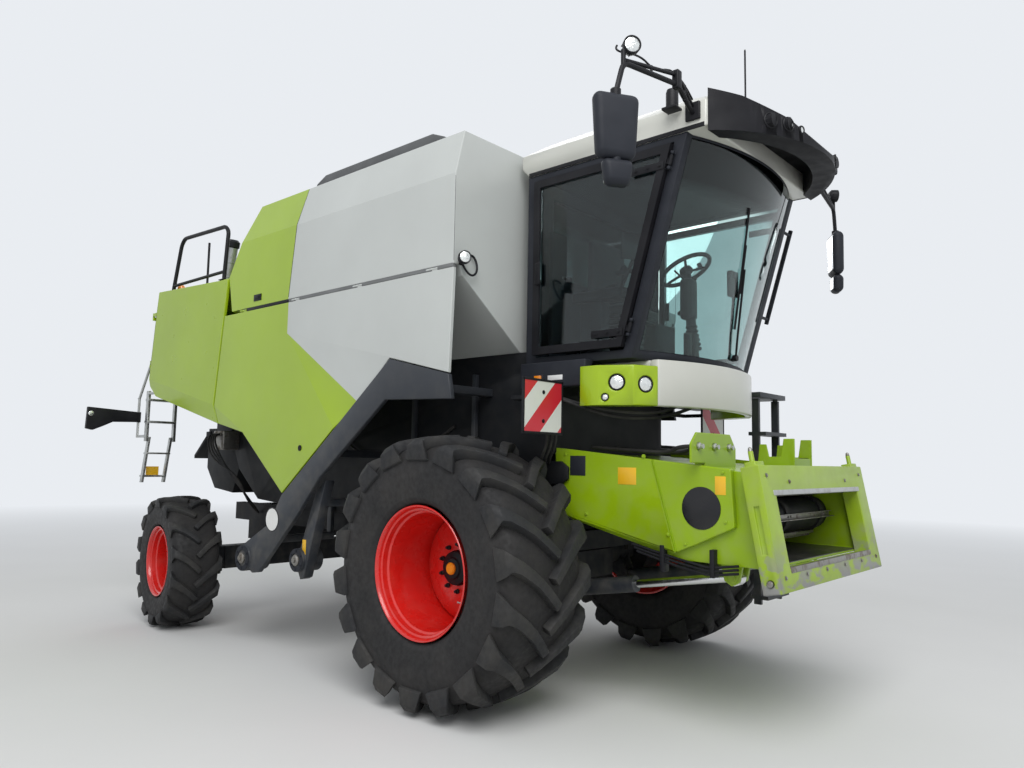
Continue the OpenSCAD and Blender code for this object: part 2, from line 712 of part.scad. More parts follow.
module rear_panel(side) {
    outline = [[gap_top[0] + panel_gap, deck_z - 40], [hood_rear_y - 120, deck_z + 25],
        [hood_rear_y, 2440], [hood_rear_y - 8, 2360], [hood_rear_y - 120, 2252],
        [panel_heel[0] + panel_gap, panel_heel[1]], [gap_low[0] + panel_gap, gap_low[1]]];
    color(green) at_axle() mirror([side < 0 ? 1 : 0, 0, 0]) difference() {
        union() {
            folded_panel(outline) outside_fold([gap_low[0], gap_low[1]], [hood_rear_y, 2440], low_lean);
            for (z = rear_hinge_z) {
                translate([rear_hinge_x, rear_hinge_y, z + rear_hinge_len + 2])
                    cylinder(h = rear_hinge_len - 2, r = rear_hinge_r);
                block([rear_hinge_x - 10, hood_rear_y - 115, z + rear_hinge_len + 2],
                    [rear_hinge_x + 10, rear_hinge_y, z + 2 * rear_hinge_len]);
            }
        }
        translate([rear_hinge_x, rear_hinge_y, 2400]) cylinder(h = 1000, r = rear_pin_r + fit);
    }
}
module rear_panel_right() { rear_panel(-1); }
module rear_panel_left() { rear_panel(1); }

// Dark bands from the cab down to the elevator feet, with the round elevator ends.
band_t = 40;
elevator_end = [2475, 754];
elevator2_end = [1761, 796];
module side_bands() {
    outer_gap = 8;
    color(dark) at_axle() both_sides() {
        plate_yz([[band_front[0], band_front[1] - outer_gap], [band_peak[0], band_peak[1] - outer_gap],
            [band_mid[0] - outer_gap, band_mid[1] - outer_gap],
                [panel_apex[0], panel_apex[1] - outer_gap * 2],
            [2100, 1075], [elevator_end[0] + 75, elevator_end[1] + 85],
                [elevator_end[0] - 75, elevator_end[1] - 85],
            [2330, 640], [2230, 655], [1690, 1170], [1411, 1473], [621, 2067], [-77, 2046]],
            body_half - panel_t - 10, band_t);
        along_x(body_half - 200, body_half + 15, elevator_end[0], elevator_end[1], 112);
        // Second elevator, further in.
        plate_yz([[1437, 1457], [1560, 1380], [1810, 760], [1740, 640], [1690, 660]], body_half - 180, 90);
        along_x(body_half - 260, body_half - 60, elevator2_end[0], elevator2_end[1], 95);
        // Brackets to the threshing housing.
        for (p = [[200, 2120], [1300, 1640], [2150, 900]])
            block([core_half, p[0], p[1]], [body_half - panel_t, p[0] + 80, p[1] + 60]);
        block([core_half, 1500, 1240], [body_half - 150, 1560, 1300]);
        block([core_half, 2160, rail_low_z - 60], [core_half + 40, 2220, rail_top_z + 50]);
    }
}

module engine() {
    color(dark) at_axle() block([-520, 3080, straw_top_z], [520, 4080, deck_z - 50]);
}

// Cab

module cab_profile(inset) {
    polygon([[cab_rear_y - inset, cab_low_z + (inset > 0 ? sill_h : 0)],
        [cab_rear_y - inset, cab_high_z - (inset > 0 ? 20 : 0)],
        [screen_high_y + inset, cab_high_z - (inset > 0 ? 20 : 0)],
        [screen_low_y + inset - screen_slope * (inset > 0 ? sill_h : 0),
            cab_low_z + (inset > 0 ? sill_h : 0)]]);
}
// Frame of the cab: floor, rear wall, corner posts and roof rails.
module cab_shell() {
    color(dark) at_axle() {
        difference() {
            translate([-cab_half, 0, 0]) rotate([90, 0, 90]) linear_extrude(2 * cab_half) cab_profile(0);
            // Inner room
            translate([-cab_half + pillar, 0, 0]) rotate([90, 0, 90])
                linear_extrude(2 * (cab_half - pillar)) cab_profile(pillar);
            // Side openings
            translate([-cab_half - 10, 0, 0]) rotate([90, 0, 90]) linear_extrude(2 * cab_half + 20)
                polygon([[cab_rear_y - pillar - 20, door_low_z],
                    [cab_rear_y - pillar - 20, door_high_z - 25],
                    [screen_high_y + pillar + 25, door_high_z - 25],
                    [screen_low_y + pillar - 10, door_low_z]]);
            // Front opening
            block([-cab_half + pillar, -2200, cab_low_z + sill_h],
                [cab_half - pillar, -700, cab_high_z - 20]);
            // Rear window
            block([-cab_half + 220, cab_rear_y - 200, cab_low_z + 700],
                [cab_half - 220, cab_rear_y + 10, cab_high_z - 120]);
        }
        screen_lip(cab_low_z, cab_low_z + sill_h);
        screen_lip(cab_high_z - 20, cab_high_z);
        // Grab rail on the left front post
        for (z = grab_z) along_x(cab_half - 15, grab_x + 4, grab_y(z), z, 12);
        bar(grab_at(grab_z[0] - grab_end), grab_at(grab_z[1] + grab_end), grab_r);
        both_sides() for (z = [hinge_low_z, hinge_high_z]) {
            bar(hinge_at(z - 25), hinge_at(z + hinge_len + 25), hinge_pin_r);
            for (e = [[-27, -8], [hinge_len + 8, hinge_len + 27]]) {
                bar(hinge_at(z + e[0]), hinge_at(z + e[1]), hinge_r);
                block([cab_half - eps, hinge_at(z + e[0])[1] - 12, z + e[0]],
                    [hinge_x, hinge_at(z + e[0])[1] + 12, z + e[1]]);
            }
        }
    }
}

screen_half = cab_half - pillar;
screen_r = (screen_half * screen_half + screen_bulge * screen_bulge) / (2 * screen_bulge);
screen_tilt = atan2(screen_low_y - screen_high_y, cab_high_z - cab_low_z);
module screen_round(r)
    translate([0, screen_low_y, cab_low_z]) rotate([screen_tilt, 0, 0])
        translate([0, screen_r - screen_bulge, -300]) cylinder(h = 2400, r = r, $fn = 180);
// Sill and header bulge forwards with the windscreen.
module screen_lip(z0, z1)
    intersection() {
        screen_round(screen_r - lip_inset);
        block([-screen_half - eps, screen_high_y - 400, z0],
            [screen_half + eps, screen_low_y - screen_slope * (z1 - cab_low_z) + 40, z1]);
    }
module screen_sheet() {
    intersection() {
        difference() {
            screen_round(screen_r);
            screen_round(screen_r - screen_t);
        }
        block([-screen_half + fit, screen_high_y - 400, cab_low_z + sill_h + fit],
            [screen_half - fit, screen_low_y + 60, cab_high_z - 20 - fit]);
    }
}
module cab_glass() {
    color(glass) at_axle() {
        screen_sheet();
        block([-cab_half + 220 + fit, cab_rear_y - 40, cab_low_z + 700 + fit],
            [cab_half - 220 - fit, cab_rear_y - 34, cab_high_z - 120 - fit]);
    }
}

// Door and side window share one outline, hinged along the front post.
function door_front_y(z) = screen_low_y + 55 - screen_slope * (z - door_foot_z);
function door_outline(inset) = [[door_rear_y - inset, door_foot_z + inset],
    [door_rear_y - inset, door_head_z - inset],
    [door_front_y(door_head_z - inset) + inset * 1.04, door_head_z - inset],
    [door_front_y(door_foot_z + inset) + inset * 1.04, door_foot_z + inset]];
module door_frame() {
    difference() {
        union() {
            difference() {
                plate_yz(door_outline(0), cab_half + 4, door_t);
                plate_yz(door_outline(55), cab_half - 10, door_t + 30);
            }
            for (z = [hinge_low_z, hinge_high_z]) {
                bar(hinge_at(z), hinge_at(z + hinge_len), hinge_r);
                block([hinge_x - 12, hinge_at(z)[1], z + 5],
                    [hinge_x + 12, hinge_at(z)[1] + 38, z + hinge_len - 15]);
            }
        }
        for (z = [hinge_low_z, hinge_high_z])
            bar(hinge_at(z - 40), hinge_at(z + hinge_len + 40), hinge_pin_r + fit);
    }
}
module door_glass() {
    plate_yz(door_outline(55 + fit), cab_half + 14, 10);
}
module door_frame_left() { color(black) at_axle() door_frame(); }
module door_glass_left() { color(glass) at_axle() door_glass(); }
module window_frame_right() { color(black) at_axle() mirror([1, 0, 0]) door_frame(); }
module window_glass_right() { color(glass) at_axle() mirror([1, 0, 0]) door_glass(); }

module cab_roof() {
    color(pale) at_axle() {
        intersection() {
            plate_yz([[cab_rear_y + 60, cab_high_z + 70], [cab_rear_y + 60, cab_high_z + 170],
                [cab_rear_y - 100, roof_z - 50], [-700, roof_z], [-1350, roof_z - 20],
                    [visor_back_y, roof_z - 90],
                [visor_back_y, cab_high_z + fit], [cab_rear_y - 10, cab_high_z + fit]],
                -cab_half - 10, 2 * cab_half + 20);
            plate_xz([[-cab_half - 10, cab_high_z], [-cab_half - 10, cab_high_z + 170],
                [-cab_half + 160, roof_z - 30], [-300, roof_z], [300, roof_z], [cab_half - 160, roof_z - 30],
                [cab_half + 10, cab_high_z + 170], [cab_half + 10, cab_high_z]], -2000, 2200);
        }
        // Bracket of the beacon
        block([-cab_half - 95, -1465, beacon_z - 15], [-cab_half - 10 + eps, -1375, beacon_z]);
        // Whip antenna
        translate([0, -1500, roof_z - 120]) cylinder(h = 140, r = 28);
        translate([0, -1500, roof_z - 20]) cylinder(h = antenna_z - roof_z + 20, r = 6);
    }
}

visor_r = 1060;
visor_front_y = -2060;
visor_back_y = -1640;
antenna_z = 4640;
// Places of the lamps in the visor: x, y of their front, height and radius.
visor_lamps = [[540, -1938, 3800, 42], [415, -1992, 3800, 42], [305, -2020, 3790, 24]];
module visor() {
    color(black) at_axle() both_sides() for (p = visor_lamps)
        translate([p[0], p[1], p[2]]) rotate([-90, 0, 0]) cylinder(h = 90, r = p[3]);
    color(black) at_axle() intersection() {
        difference() {
            translate([0, visor_front_y + visor_r, cab_high_z - 60])
                cylinder(h = 400, r = visor_r, $fn = 120);
            translate([0, visor_front_y + visor_r + 160, cab_high_z - 80])
                cylinder(h = 220, r = visor_r, $fn = 120);
            block([-2000, visor_back_y, cab_high_z - 100], [2000, 1000, roof_z + 200]);
        }
        plate_yz([[visor_back_y + 10, cab_high_z - 30], [visor_back_y + 10, roof_z - 70],
            [-1800, roof_z - 120],
            [-1980, roof_z - 220], [-2070, roof_z - 330], [-2070, cab_high_z - 30]], -900, 1800);
    }
}

module driver_seat() {
    color(seat_cloth) at_axle() {
        block([-240, -640, cab_low_z + sill_h + 380], [240, -260, cab_low_z + sill_h + 480]);
        block([-230, -300, cab_low_z + sill_h + 470],
            [230, cab_rear_y - pillar - 12, cab_low_z + sill_h + 1020]);
        block([-160, -600, cab_low_z + sill_h], [160, -340, cab_low_z + sill_h + 381]);
    }
}

module steering_column() {
    top = [0, -1010, 3080];
    color(black) at_axle() {
        block([-80, -1150, cab_low_z + sill_h], [80, -1010, cab_low_z + sill_h + 24]);
        bar([0, -1080, cab_low_z + sill_h + 8], [0, -1010, 3060], 55);
        translate(top) rotate([-28, 0, 0]) rotate_extrude($fn = 72) translate([190, 0])
            circle(r = 16, $fn = 16);
        translate(top) rotate([-28, 0, 0]) for (a = [90, 210, 330])
            rotate([0, 0, a]) bar([30, 0, 0], [190, 0, 0], 10);
        translate(top) rotate([-28, 0, 0]) cylinder(h = 40, r = 45, center = true);
    }
}

module cab_console() {
    color(black) at_axle() {
        block([-470, -760, cab_low_z + sill_h + 450], [-300, -300, cab_low_z + sill_h + 540]);
        block([-440, -560, cab_low_z + sill_h], [-330, -360, cab_low_z + sill_h + 451]);
    }
}

// Bumper under the cab
bumper_low_z = 2010;
bumper_front_y = -1370;
module bumper() {
    color(pale) at_axle() {
        translate([0, 0, bumper_low_z]) linear_extrude(cab_low_z - bumper_low_z - fit) difference() {
            intersection() {
                translate([-700, bumper_front_y]) square([1400, 300]);
                translate([0, bumper_front_y + 1500]) circle(r = 1500, $fn = 120);
            }
            translate([0, bumper_front_y + 1560]) circle(r = 1500, $fn = 120);
        }
        both_sides() block([250, bumper_front_y + 75, cab_low_z - 90],
            [330, bumper_front_y + 260, cab_low_z - 20]);
        block([-690, bumper_front_y + 240, cab_low_z - 90], [690, core_front_y, cab_low_z - fit]);
    }
}
// Places of the round lamps in a pod: x, y, height, turn and radius.
pod_lamps = [[780, bumper_front_y + 217.5, 2150, 28, 56], [906, bumper_front_y + 361, 2160, 65.5, 56],
    [938, bumper_front_y + 431, 2062, 65.5, 26]];
module lamp_pods() {
    recess = 14;
    color(green) at_axle() both_sides() {
        difference() {
            translate([0, 0, bumper_low_z]) linear_extrude(cab_low_z - bumper_low_z - 46)
                polygon([[700 + fit, bumper_front_y + 175], [860, bumper_front_y + 260],
                    [960, bumper_front_y + 480], [960, bumper_front_y + 620], [880, bumper_front_y + 620],
                    [700 + fit, bumper_front_y + 300]]);
            for (p = pod_lamps) translate([p[0], p[1], p[2]]) rotate([90, 0, p[3]])
                translate([0, 0, -recess]) cylinder(h = 60, r = p[4]);
        }
        for (p = pod_lamps) translate([p[0], p[1], p[2]]) rotate([90, 0, p[3]])
            translate([0, 0, -recess - 8]) cylinder(h = recess + 2, r = p[4] - 7);
    }
}

module mirror_set() {
    root = [cab_half + 25, -1550, 3835];
    knee = [1150, -1600, 3900];
    top = [1640, -1540, 3860];
    head = [1700, -1530, 3470];
    block([cab_half + 10, -1600, 3790], [cab_half + 30, -1500, 3905]);
    bent_bar([root, knee, top, head + [0, 0, 150]], 16);
    bent_bar([root + [0, 0, 45], knee + [0, 0, 60], top + [0, 0, 15]], 12);
    mirror_head(head, 270, 90, 370, 45);
    mirror_head(head - [10, 0, 260], 190, 80, 152, 35);
    // Work lamp at the tip of the arm
    translate(top + [0, 0, 10]) cylinder(h = 60, r = 9);
    translate(top + [-30, -40, 105]) rotate([-90, 0, 32]) cylinder(h = 70, r = 52);
}
// A mirror head whose corners are cut
module mirror_head(at, w, t, h, cut) {
    x = w / 2;
    z = h / 2;
    translate(at) rotate([0, 0, 32]) {
        plate_xz([[-x, cut - z], [-x, z - cut], [cut - x, z], [x - cut, z], [x, z - cut], [x, cut - z],
            [x - cut, -z], [cut - x, -z]], -t / 2, t * 0.6);
        plate_xz([[cut / 2 - x, cut - z], [cut / 2 - x, z - cut], [cut - x, z - cut / 2],
            [x - cut, z - cut / 2],
            [x - cut / 2, z - cut], [x - cut / 2, cut - z], [x - cut, cut / 2 - z], [cut - x, cut / 2 - z]],
            -t * 0.4, t * 0.9);
    }
}
module mirrors() { color(black) at_axle() both_sides() mirror_set(); }

// Deck pipes, each with its place along X and Y and its radius
deck_pipes = [[320 - body_half, 3640, 52], [460 - body_half, 3560, 46]];
mast_x = 240 - body_half;
// Railing on the right side of the engine deck, and the post of the left lamp arm
module hand_rails() {
    x = -body_half + 95;
    color(black) at_axle() {
        bent_bar([[x, 4350, deck_z], [x, 4350, deck_z + 50], [x, 4218, 3870], [x, 4150, 3928],
            [x, 3290, 3897], [x, 3228, 3840], [x, 3270, deck_z + 50], [x, 3270, deck_z]], 20);
        bar([x, 4340, deck_z + 90], [x, 3270, deck_z + 90], 16);
        mirror([1, 0, 0]) lamp_post();
        // Exhaust and intake pipes with their caps, and a thin mast
        for (p = deck_pipes) {
            translate([p[0], p[1], deck_z]) cylinder(h = 30, r = p[2] + 10);
            bar([p[0], p[1], deck_z + 15], [p[0], p[1] - 90, deck_z + 430], p[2]);
            bar([p[0], p[1] - 86, deck_z + 410], [p[0], p[1] - 106, deck_z + 505], p[2] + 12);
        }
        bar([mast_x, 3900, deck_z], [mast_x, 3900, deck_z + 520], 12);
    }
}

// Access platform on the left of the cab, with its grab rails
module access_platform() {
    color(dark) at_axle() {
        difference() {
            union() {
                block([968, -1150, platform_z - 40], [1480, tank_front_y - 20, platform_z]);
                block([platform_in_x, -735, platform_z - 40], [968 + eps, tank_front_y - 20, platform_z]);
            }
            translate([ladder_front_x, ladder_front_y, platform_z - 60]) cylinder(h = 80, r = 20 + fit);
        }
        block([core_half - 60, core_front_y - 70, platform_z - 110], [1420, core_front_y, platform_z - 40]);
    }
}
platform_in_x = cab_half + 15;
platform_z = cab_low_z - 85;
ladder_front_x = 1400;
ladder_front_y = -1090;

module front_ladder() {
    y = ladder_front_y;
    color(dark) at_axle() {
        for (x = [1000, 1385]) block([x, y - 30, 520], [x + 30, y + 30, platform_z - 50]);
        for (i = [0 : 4]) block([1000, y - 90, 560 + i * 330], [1415, y + 60, 590 + i * 330]);
        translate([ladder_front_x, y, platform_z - 51]) cylinder(h = 51, r = 20);
    }
}

// Rear ladder, its lower part folds
ladder_x = 80 - body_half;
ladder_w = 300;
ladder_fold_z = 1810;
module rear_ladder() {
    y = rear_ladder_y;
    color(steel) at_axle() {
        for (x = [ladder_x, ladder_x + ladder_w]) {
            block([x, y - 25, ladder_fold_z - 30], [x + 30, y + 25, 2330]);
            block([x, hood_rear_y - 55, 2290], [x + 30, y + 25, 2315]);
        }
        for (z = [1980, 2220]) block([ladder_x, y - 40, z], [ladder_x + ladder_w, y + 40, z + 25]);
        both_pins();
        lamp_post();
        block([-lamp_post_x, y, ladder_fold_z + 10], [ladder_x + 10, lamp_arm_y, ladder_fold_z + 38]);
    }
}
module rear_ladder_lower() {
    y = rear_ladder_y;
    z = ladder_fold_z;
    rail_t = 26;
    in_x = ladder_x + 32;
    out_x = ladder_x + ladder_w - 2 - rail_t;
    color(steel) at_axle() difference() {
        union() {
            for (x = [in_x, out_x])
                plate_yz([[y - 22, z + 18], [y + 22, z + 18], [y + 145, 1330], [y + 95, 1330]], x, rail_t);
            for (i = [0 : 1])
                block([in_x, y + 10 + i * 70, 1640 - i * 250],
                    [out_x + rail_t, y + 85 + i * 70, 1660 - i * 250]);
        }
        along_x(ladder_x, ladder_x + ladder_w, y, z, 12 + fit);
    }
}

// Pins of the folding ladder
module both_pins() {
    along_x(ladder_x, ladder_x + 50, rear_ladder_y, ladder_fold_z, 12);
    along_x(ladder_x + ladder_w - 20, ladder_x + ladder_w + 30, rear_ladder_y, ladder_fold_z, 12);
}

// Post of a lamp arm, held by the rear wall of the hood; on the right side it is the rail of the ladder.
module lamp_post() {
    bent_bar([[-lamp_post_x, hood_rear_y - 30, 2700], [-lamp_post_x, hood_rear_y + 90, 2700],
        [-lamp_post_x, lamp_arm_y, 2250], [-lamp_post_x, lamp_arm_y, ladder_fold_z + 10]], 14);
}

module lamp_arm() {
    difference() {
        union() {
            plate_xz([[-lamp_post_x, 1990], [-lamp_post_x, 2100], [-lamp_post_x - 536, 2130],
                [-lamp_post_x - 546, 1900], [-lamp_post_x - 476, 1885],
                [-1800, 1930], [-1700, 1980]], lamp_arm_y - lamp_arm_t / 2, lamp_arm_t);
            translate([-lamp_post_x, lamp_arm_y, 1960]) cylinder(h = 170, r = 24);
        }
        translate([-lamp_post_x, lamp_arm_y, 1800]) cylinder(h = 500, r = 14 + fit);
    }
}
module lamp_arm_right() { color(black) at_axle() lamp_arm(); }
module lamp_arm_left() { color(black) at_axle() mirror([1, 0, 0]) lamp_arm(); }

deflector_z = 1880;
module chopper() {
    lug = [[chopper_rear_y - 60, 1850], [chopper_rear_y - 60, 1910], [chopper_rear_y + 40, 1905],
        [chopper_rear_y + 40, 1855]];
    color(dark) at_axle() {
        difference() {
            plate_yz([[3930, 1520], [4160, 1940], [chopper_rear_y, 1940], [chopper_rear_y, 1500],
                [4450, 1280], [4050, 1240]], -core_half + 20, 2 * core_half - 40);
            plate_yz([[4000, 1540], [4190, 1960], [chopper_rear_y + 20, 1900], [chopper_rear_y + 20, 1520],
                [4440, 1310], [4080, 1275]], -core_half + 40, 2 * core_half - 80);
        }
        both_sides() {
            plate_yz(lug, core_half - 20 - eps, 14);
            along_x(core_half - 60, core_half - 8, chopper_rear_y + 20, deflector_z, 10);
            block([core_half, 4060, 1850], [core_half + 14, 4400, 2000]);
            block([core_half - 21, 4170, 1850], [core_half + 14, 4400, 1930]);
        }
    }
}
module chopper_deflector() {
    half = core_half - 24;
    color(dark) at_axle() difference() {
        union() {
            plate_yz([[chopper_rear_y + 8, 1885], [chopper_rear_y + 30, 1895], [chopper_rear_y + 330, 1640],
                [chopper_rear_y + 330, 1600], [chopper_rear_y + 8, 1860]], -half, 2 * half);
            for (x = [-600 : 200 : 600])
                plate_yz([[chopper_rear_y + 40, 1850], [chopper_rear_y + 320, 1610],
                    [chopper_rear_y + 320, 1540],
                    [chopper_rear_y + 60, 1700]], x - 4, 8);
            along_x(-half, half, chopper_rear_y + 20, deflector_z, 15);
        }
        along_x(-core_half, core_half, chopper_rear_y + 20, deflector_z, 10 + fit);
    }
}

// Unloading auger, folded back along the left side
module auger_base() {
    r = auger_d / 2;
    color(green) at_axle() {
        translate([auger_x, auger_y, ledge_z]) cylinder(h = auger_z - r - 60 - ledge_z, r = r);
        block([tank_left_x, auger_y - 90, ledge_z], [auger_x, auger_y + 90, ledge_z + 200]);
        // Rest under the folded tube
        block([auger_x - 90, 3900, deck_z], [auger_x + 90, 3960, auger_z - r - 5]);
    }
}
module unloading_auger() {
    r = auger_d / 2;
    color(green) at_axle() difference() {
        union() {
            translate([auger_x, auger_y, auger_z - r - 60 + fit]) cylinder(h = r + 60, r = r - 2);
            translate([auger_x, auger_y, auger_z]) sphere(r = r + 4);
            bar([auger_x, auger_y, auger_z], [auger_x, auger_y + auger_l - 300, auger_z], r);
            translate([auger_x - r + 10, auger_y + auger_l - 301, auger_z - 220])
                cube([2 * r - 20, 300, 220 + r - 10]);
        }
        translate([auger_x - r + 25, auger_y + auger_l - 290, auger_z - 240]) cube([2 * r - 50, 270, 300]);
    }
}

beacon_z = 3895;
plate_x = 1180;
plate_y = -620;
module marker_lamps() {
    color(amber) at_axle() {
        translate([-cab_half - 50, -1420, beacon_z]) cylinder(h = 130, r = 38);
        translate([-body_half + 170, 4330, deck_z]) cylinder(h = 110, r = 40);
    }
}

// Bars that hold the warning plates beside the cab
module plate_bars() both_sides() {
    block([core_half - 50, core_front_y - 30, 2050], [plate_x, core_front_y + eps, 2080]);
    block([plate_x - 30, plate_y + 8, 2050], [plate_x, core_front_y - 30 + eps, 2080]);
}
module hazard_plates() {
    color(white) at_axle() both_sides() block([plate_x - 200, plate_y, 1820],
        [plate_x + 200, plate_y + 8, 2170]);
}

// Feeder house

module feeder_house() {
    wall = feeder_wall;
    front = frame_rear_y(1590);
    outer = [[-395, 1700], [-1760, 1600], [front + fit, 1590], [frame_rear_y(1040) + fit, 1040],
        [-1400, 1045],
        [-560, 1240], [-430, 1290]];
    inner = [[-300, 1690], [-1760, 1580], [front - 30, 1572], [frame_rear_y(1060) - 30, 1060], [-1400, 1065],
        [-560, 1260], [-300, 1320]];
    lug = [[lift_eye_y + 75, 1046], [lift_eye_y + 50, lift_eye_z - 20], [lift_eye_y, lift_eye_z - 50],
        [lift_eye_y - 50, lift_eye_z - 20], [lift_eye_y - 75, 1046]];
    color(green) at_axle() difference() {
        union() {
            difference() {
                plate_yz(outer, -feeder_half - wall, 2 * (feeder_half + wall));
                plate_yz(inner, -feeder_half, 2 * feeder_half);
            }
            both_sides() {
                for (s = [-1, 1]) plate_yz(lug, lift_x + s * (lift_eye_w / 2 + 16) - 12, 24);
                for (s = [-1, 1]) along_x(lift_x + s * (lift_eye_w / 2 + 5),
                    lift_x + s * (lift_eye_w / 2 + 38),
                    lift_eye_y, lift_eye_z, lift_pin_r + 8);
            }
            hose_bracket();
            coupler_rest();
        }
        along_x(-feeder_half - 50, feeder_half + 50, feeder_pivot_y, feeder_pivot_z, pivot_r);
    }
}

// Plate with three holes that holds the hoses of the header, on the right of the feeder house
module hose_bracket() {
    difference() {
        plate_xz([[-930, 1645], [-930, 1760], [-860, 1830], [-420, 1830], [-340, 1740], [-340, 1600],
            [-757, 1600], [-757, 1645]], bracket_y, bracket_t);
        for (x = [-840, -640, -440]) translate([x, bracket_y + 50, 1745]) rotate([90, 0, 0])
            cylinder(h = 100, r = 24);
    }
    for (x = [-700, -420]) plate_yz([[bracket_y + 10, 1600], [bracket_y + 10, 1800],
        [bracket_y + 130, 1602]],
        x, bracket_t);
}

// Forked rest on the left of the feeder house
module coupler_rest() {
    fork = [[-1660, 1595], [-1660, 1830], [-1580, 1830], [-1560, 1700], [-1470, 1700], [-1450, 1790],
        [-1400, 1790], [-1380, 1605]];
    for (x = [380, 700]) plate_yz(fork, x, bracket_t);
    block([380 + eps, -1655, 1595], [700 + eps, -1640, 1690]);
}

module feeder_shield_side() {
    along_x(feeder_half + 50 - eps, feeder_half + 58, -1560, 1372, 100);
    difference() {
        plate_yz([[-435, 1735], [-1750, 1612], [-1770, 1268], [-1519, 1152], [-1375, 1091], [-604, 1247],
            [-435, 1300]],
            feeder_half + feeder_wall, shield_t);
        along_x(feeder_half + 50, feeder_half + 100, -1560, 1372, 118);
        along_x(feeder_half, feeder_half + 100, feeder_pivot_y, feeder_pivot_z, pivot_r);
        // Seam between the front and the rear shield
        plate_yz([[-1196, 1720], [-1190, 1720], [-1394, 1040], [-1400, 1040]],
            feeder_half + feeder_wall + shield_t - 3,
            10);
    }
}
module feeder_shields() { color(green) at_axle() both_sides() feeder_shield_side(); }

coupler_r = 20;
bracket_y = -1560;
bracket_t = 14;
module front_frame() {
    lock_y = frame_t / 2;
    lock_z = 60 - frame_h;
    color(green) at_axle() translate([0, frame_front_y, frame_top_z]) rotate([-frame_lean, 0, 0])
        difference() {
        block([-frame_half, 0, -frame_h], [frame_half, frame_t, 0]);
        block([-mouth_half, -10, -160 - mouth_h], [mouth_half, frame_t + 40, -160]);
        along_x(-frame_half - 10, frame_half + 10, lock_y, lock_z, coupler_r);
        // Slots in the side plates and a hollow back
        for (s = [-1, 1]) block([s * (frame_half - 16), 38, -500], [s * (frame_half + 10), 72, -230]);
        for (s = [-1, 1]) block([s * (mouth_half + 30), 60, -frame_h + 120],
            [s * (frame_half - 30), frame_t + 10, -60]);
    }
    color(green) at_axle() translate([0, frame_front_y, frame_top_z]) rotate([-frame_lean, 0, 0])
        for (s = [-1, 1]) {
            translate([s * (frame_half - 60), frame_t / 2, -20]) cylinder(h = 110, r = 15);
            block([s * (frame_half - 140), 20, -eps], [s * (frame_half - 20), 90, 26]);
        }
}

module feeder_chain() {
    shafts = [[-1640, 1300, 120], [-640, 1480, 95]];
    link = 22;
    slat_n = 9;
    color(steel) at_axle() {
        for (d = shafts) along_x(-feeder_half, feeder_half, d[0], d[1], 30);
        along_x(-feeder_half + 20, feeder_half - 20, shafts[0][0], shafts[0][1], shafts[0][2]);
        for (x = [-600, 0, 600]) translate([x - 15, 0, 0]) rotate([90, 0, 90])
            linear_extrude(30) difference() {
            hull() for (d = shafts) translate([d[0], d[1]]) circle(r = d[2] + link);
            hull() for (d = shafts) translate([d[0], d[1]]) circle(r = d[2] - link / 2);
        }
        for (x = [-600, 0, 600]) along_x(x - 12, x + 12, shafts[1][0], shafts[1][1], shafts[1][2]);
        for (i = [0 : slat_n - 1]) {
            t = i / (slat_n - 1);
            y = shafts[0][0] + t * (shafts[1][0] - shafts[0][0]);
            z = shafts[0][1] + t * (shafts[1][1] - shafts[0][1]);
            r = shafts[0][2] + t * (shafts[1][2] - shafts[0][2]);
            for (s = [-1, 1])
                block([-feeder_half + 30, y - 20, z + s * (r - 8)],
                    [feeder_half - 30, y + 20, z + s * (r + 52)]);
        }
        block([-feeder_half + 30, shafts[0][0] - shafts[0][2] - 52, shafts[0][1] - 20],
            [feeder_half - 30, shafts[0][0] - shafts[0][2] + 8, shafts[0][1] + 20]);
    }
}

// Lift cylinders

module lift_frame(side)
    at_axle() translate([side * lift_x, lift_base_y, lift_base_z]) rotate([-lift_angle, 0, 0]) children();

module lift_barrel(side) {
    neck = 100;
    color(black) lift_frame(side) difference() {
        union() {
            along_x(-lift_eye_w / 2, lift_eye_w / 2, 0, 0, lift_eye_r);
            block([-lift_eye_w / 2 + 6, -neck, -36], [lift_eye_w / 2 - 6, 0, 36]);
            translate([0, -neck + 8, 0]) rotate([90, 0, 0])
                cylinder(h = lift_barrel_len - neck, r = lift_barrel_r);
        }
        along_x(-lift_eye_w, lift_eye_w, 0, 0, lift_pin_r);
        translate([0, -neck - 30, 0]) rotate([90, 0, 0]) cylinder(h = lift_barrel_len, r = lift_rod_r + fit);
    }
}
module lift_rod(side) {
    rod_start = 430;
    color(steel) lift_frame(side) {
        along_x(-lift_eye_w / 2, lift_eye_w / 2, -lift_len, 0, lift_eye_r);
        translate([0, -rod_start, 0]) rotate([90, 0, 0]) cylinder(h = lift_len - rod_start, r = lift_rod_r);
    }
}
module lift_barrel_right() { lift_barrel(-1); }
module lift_barrel_left() { lift_barrel(1); }
module lift_rod_right() { lift_rod(-1); }
module lift_rod_left() { lift_rod(1); }

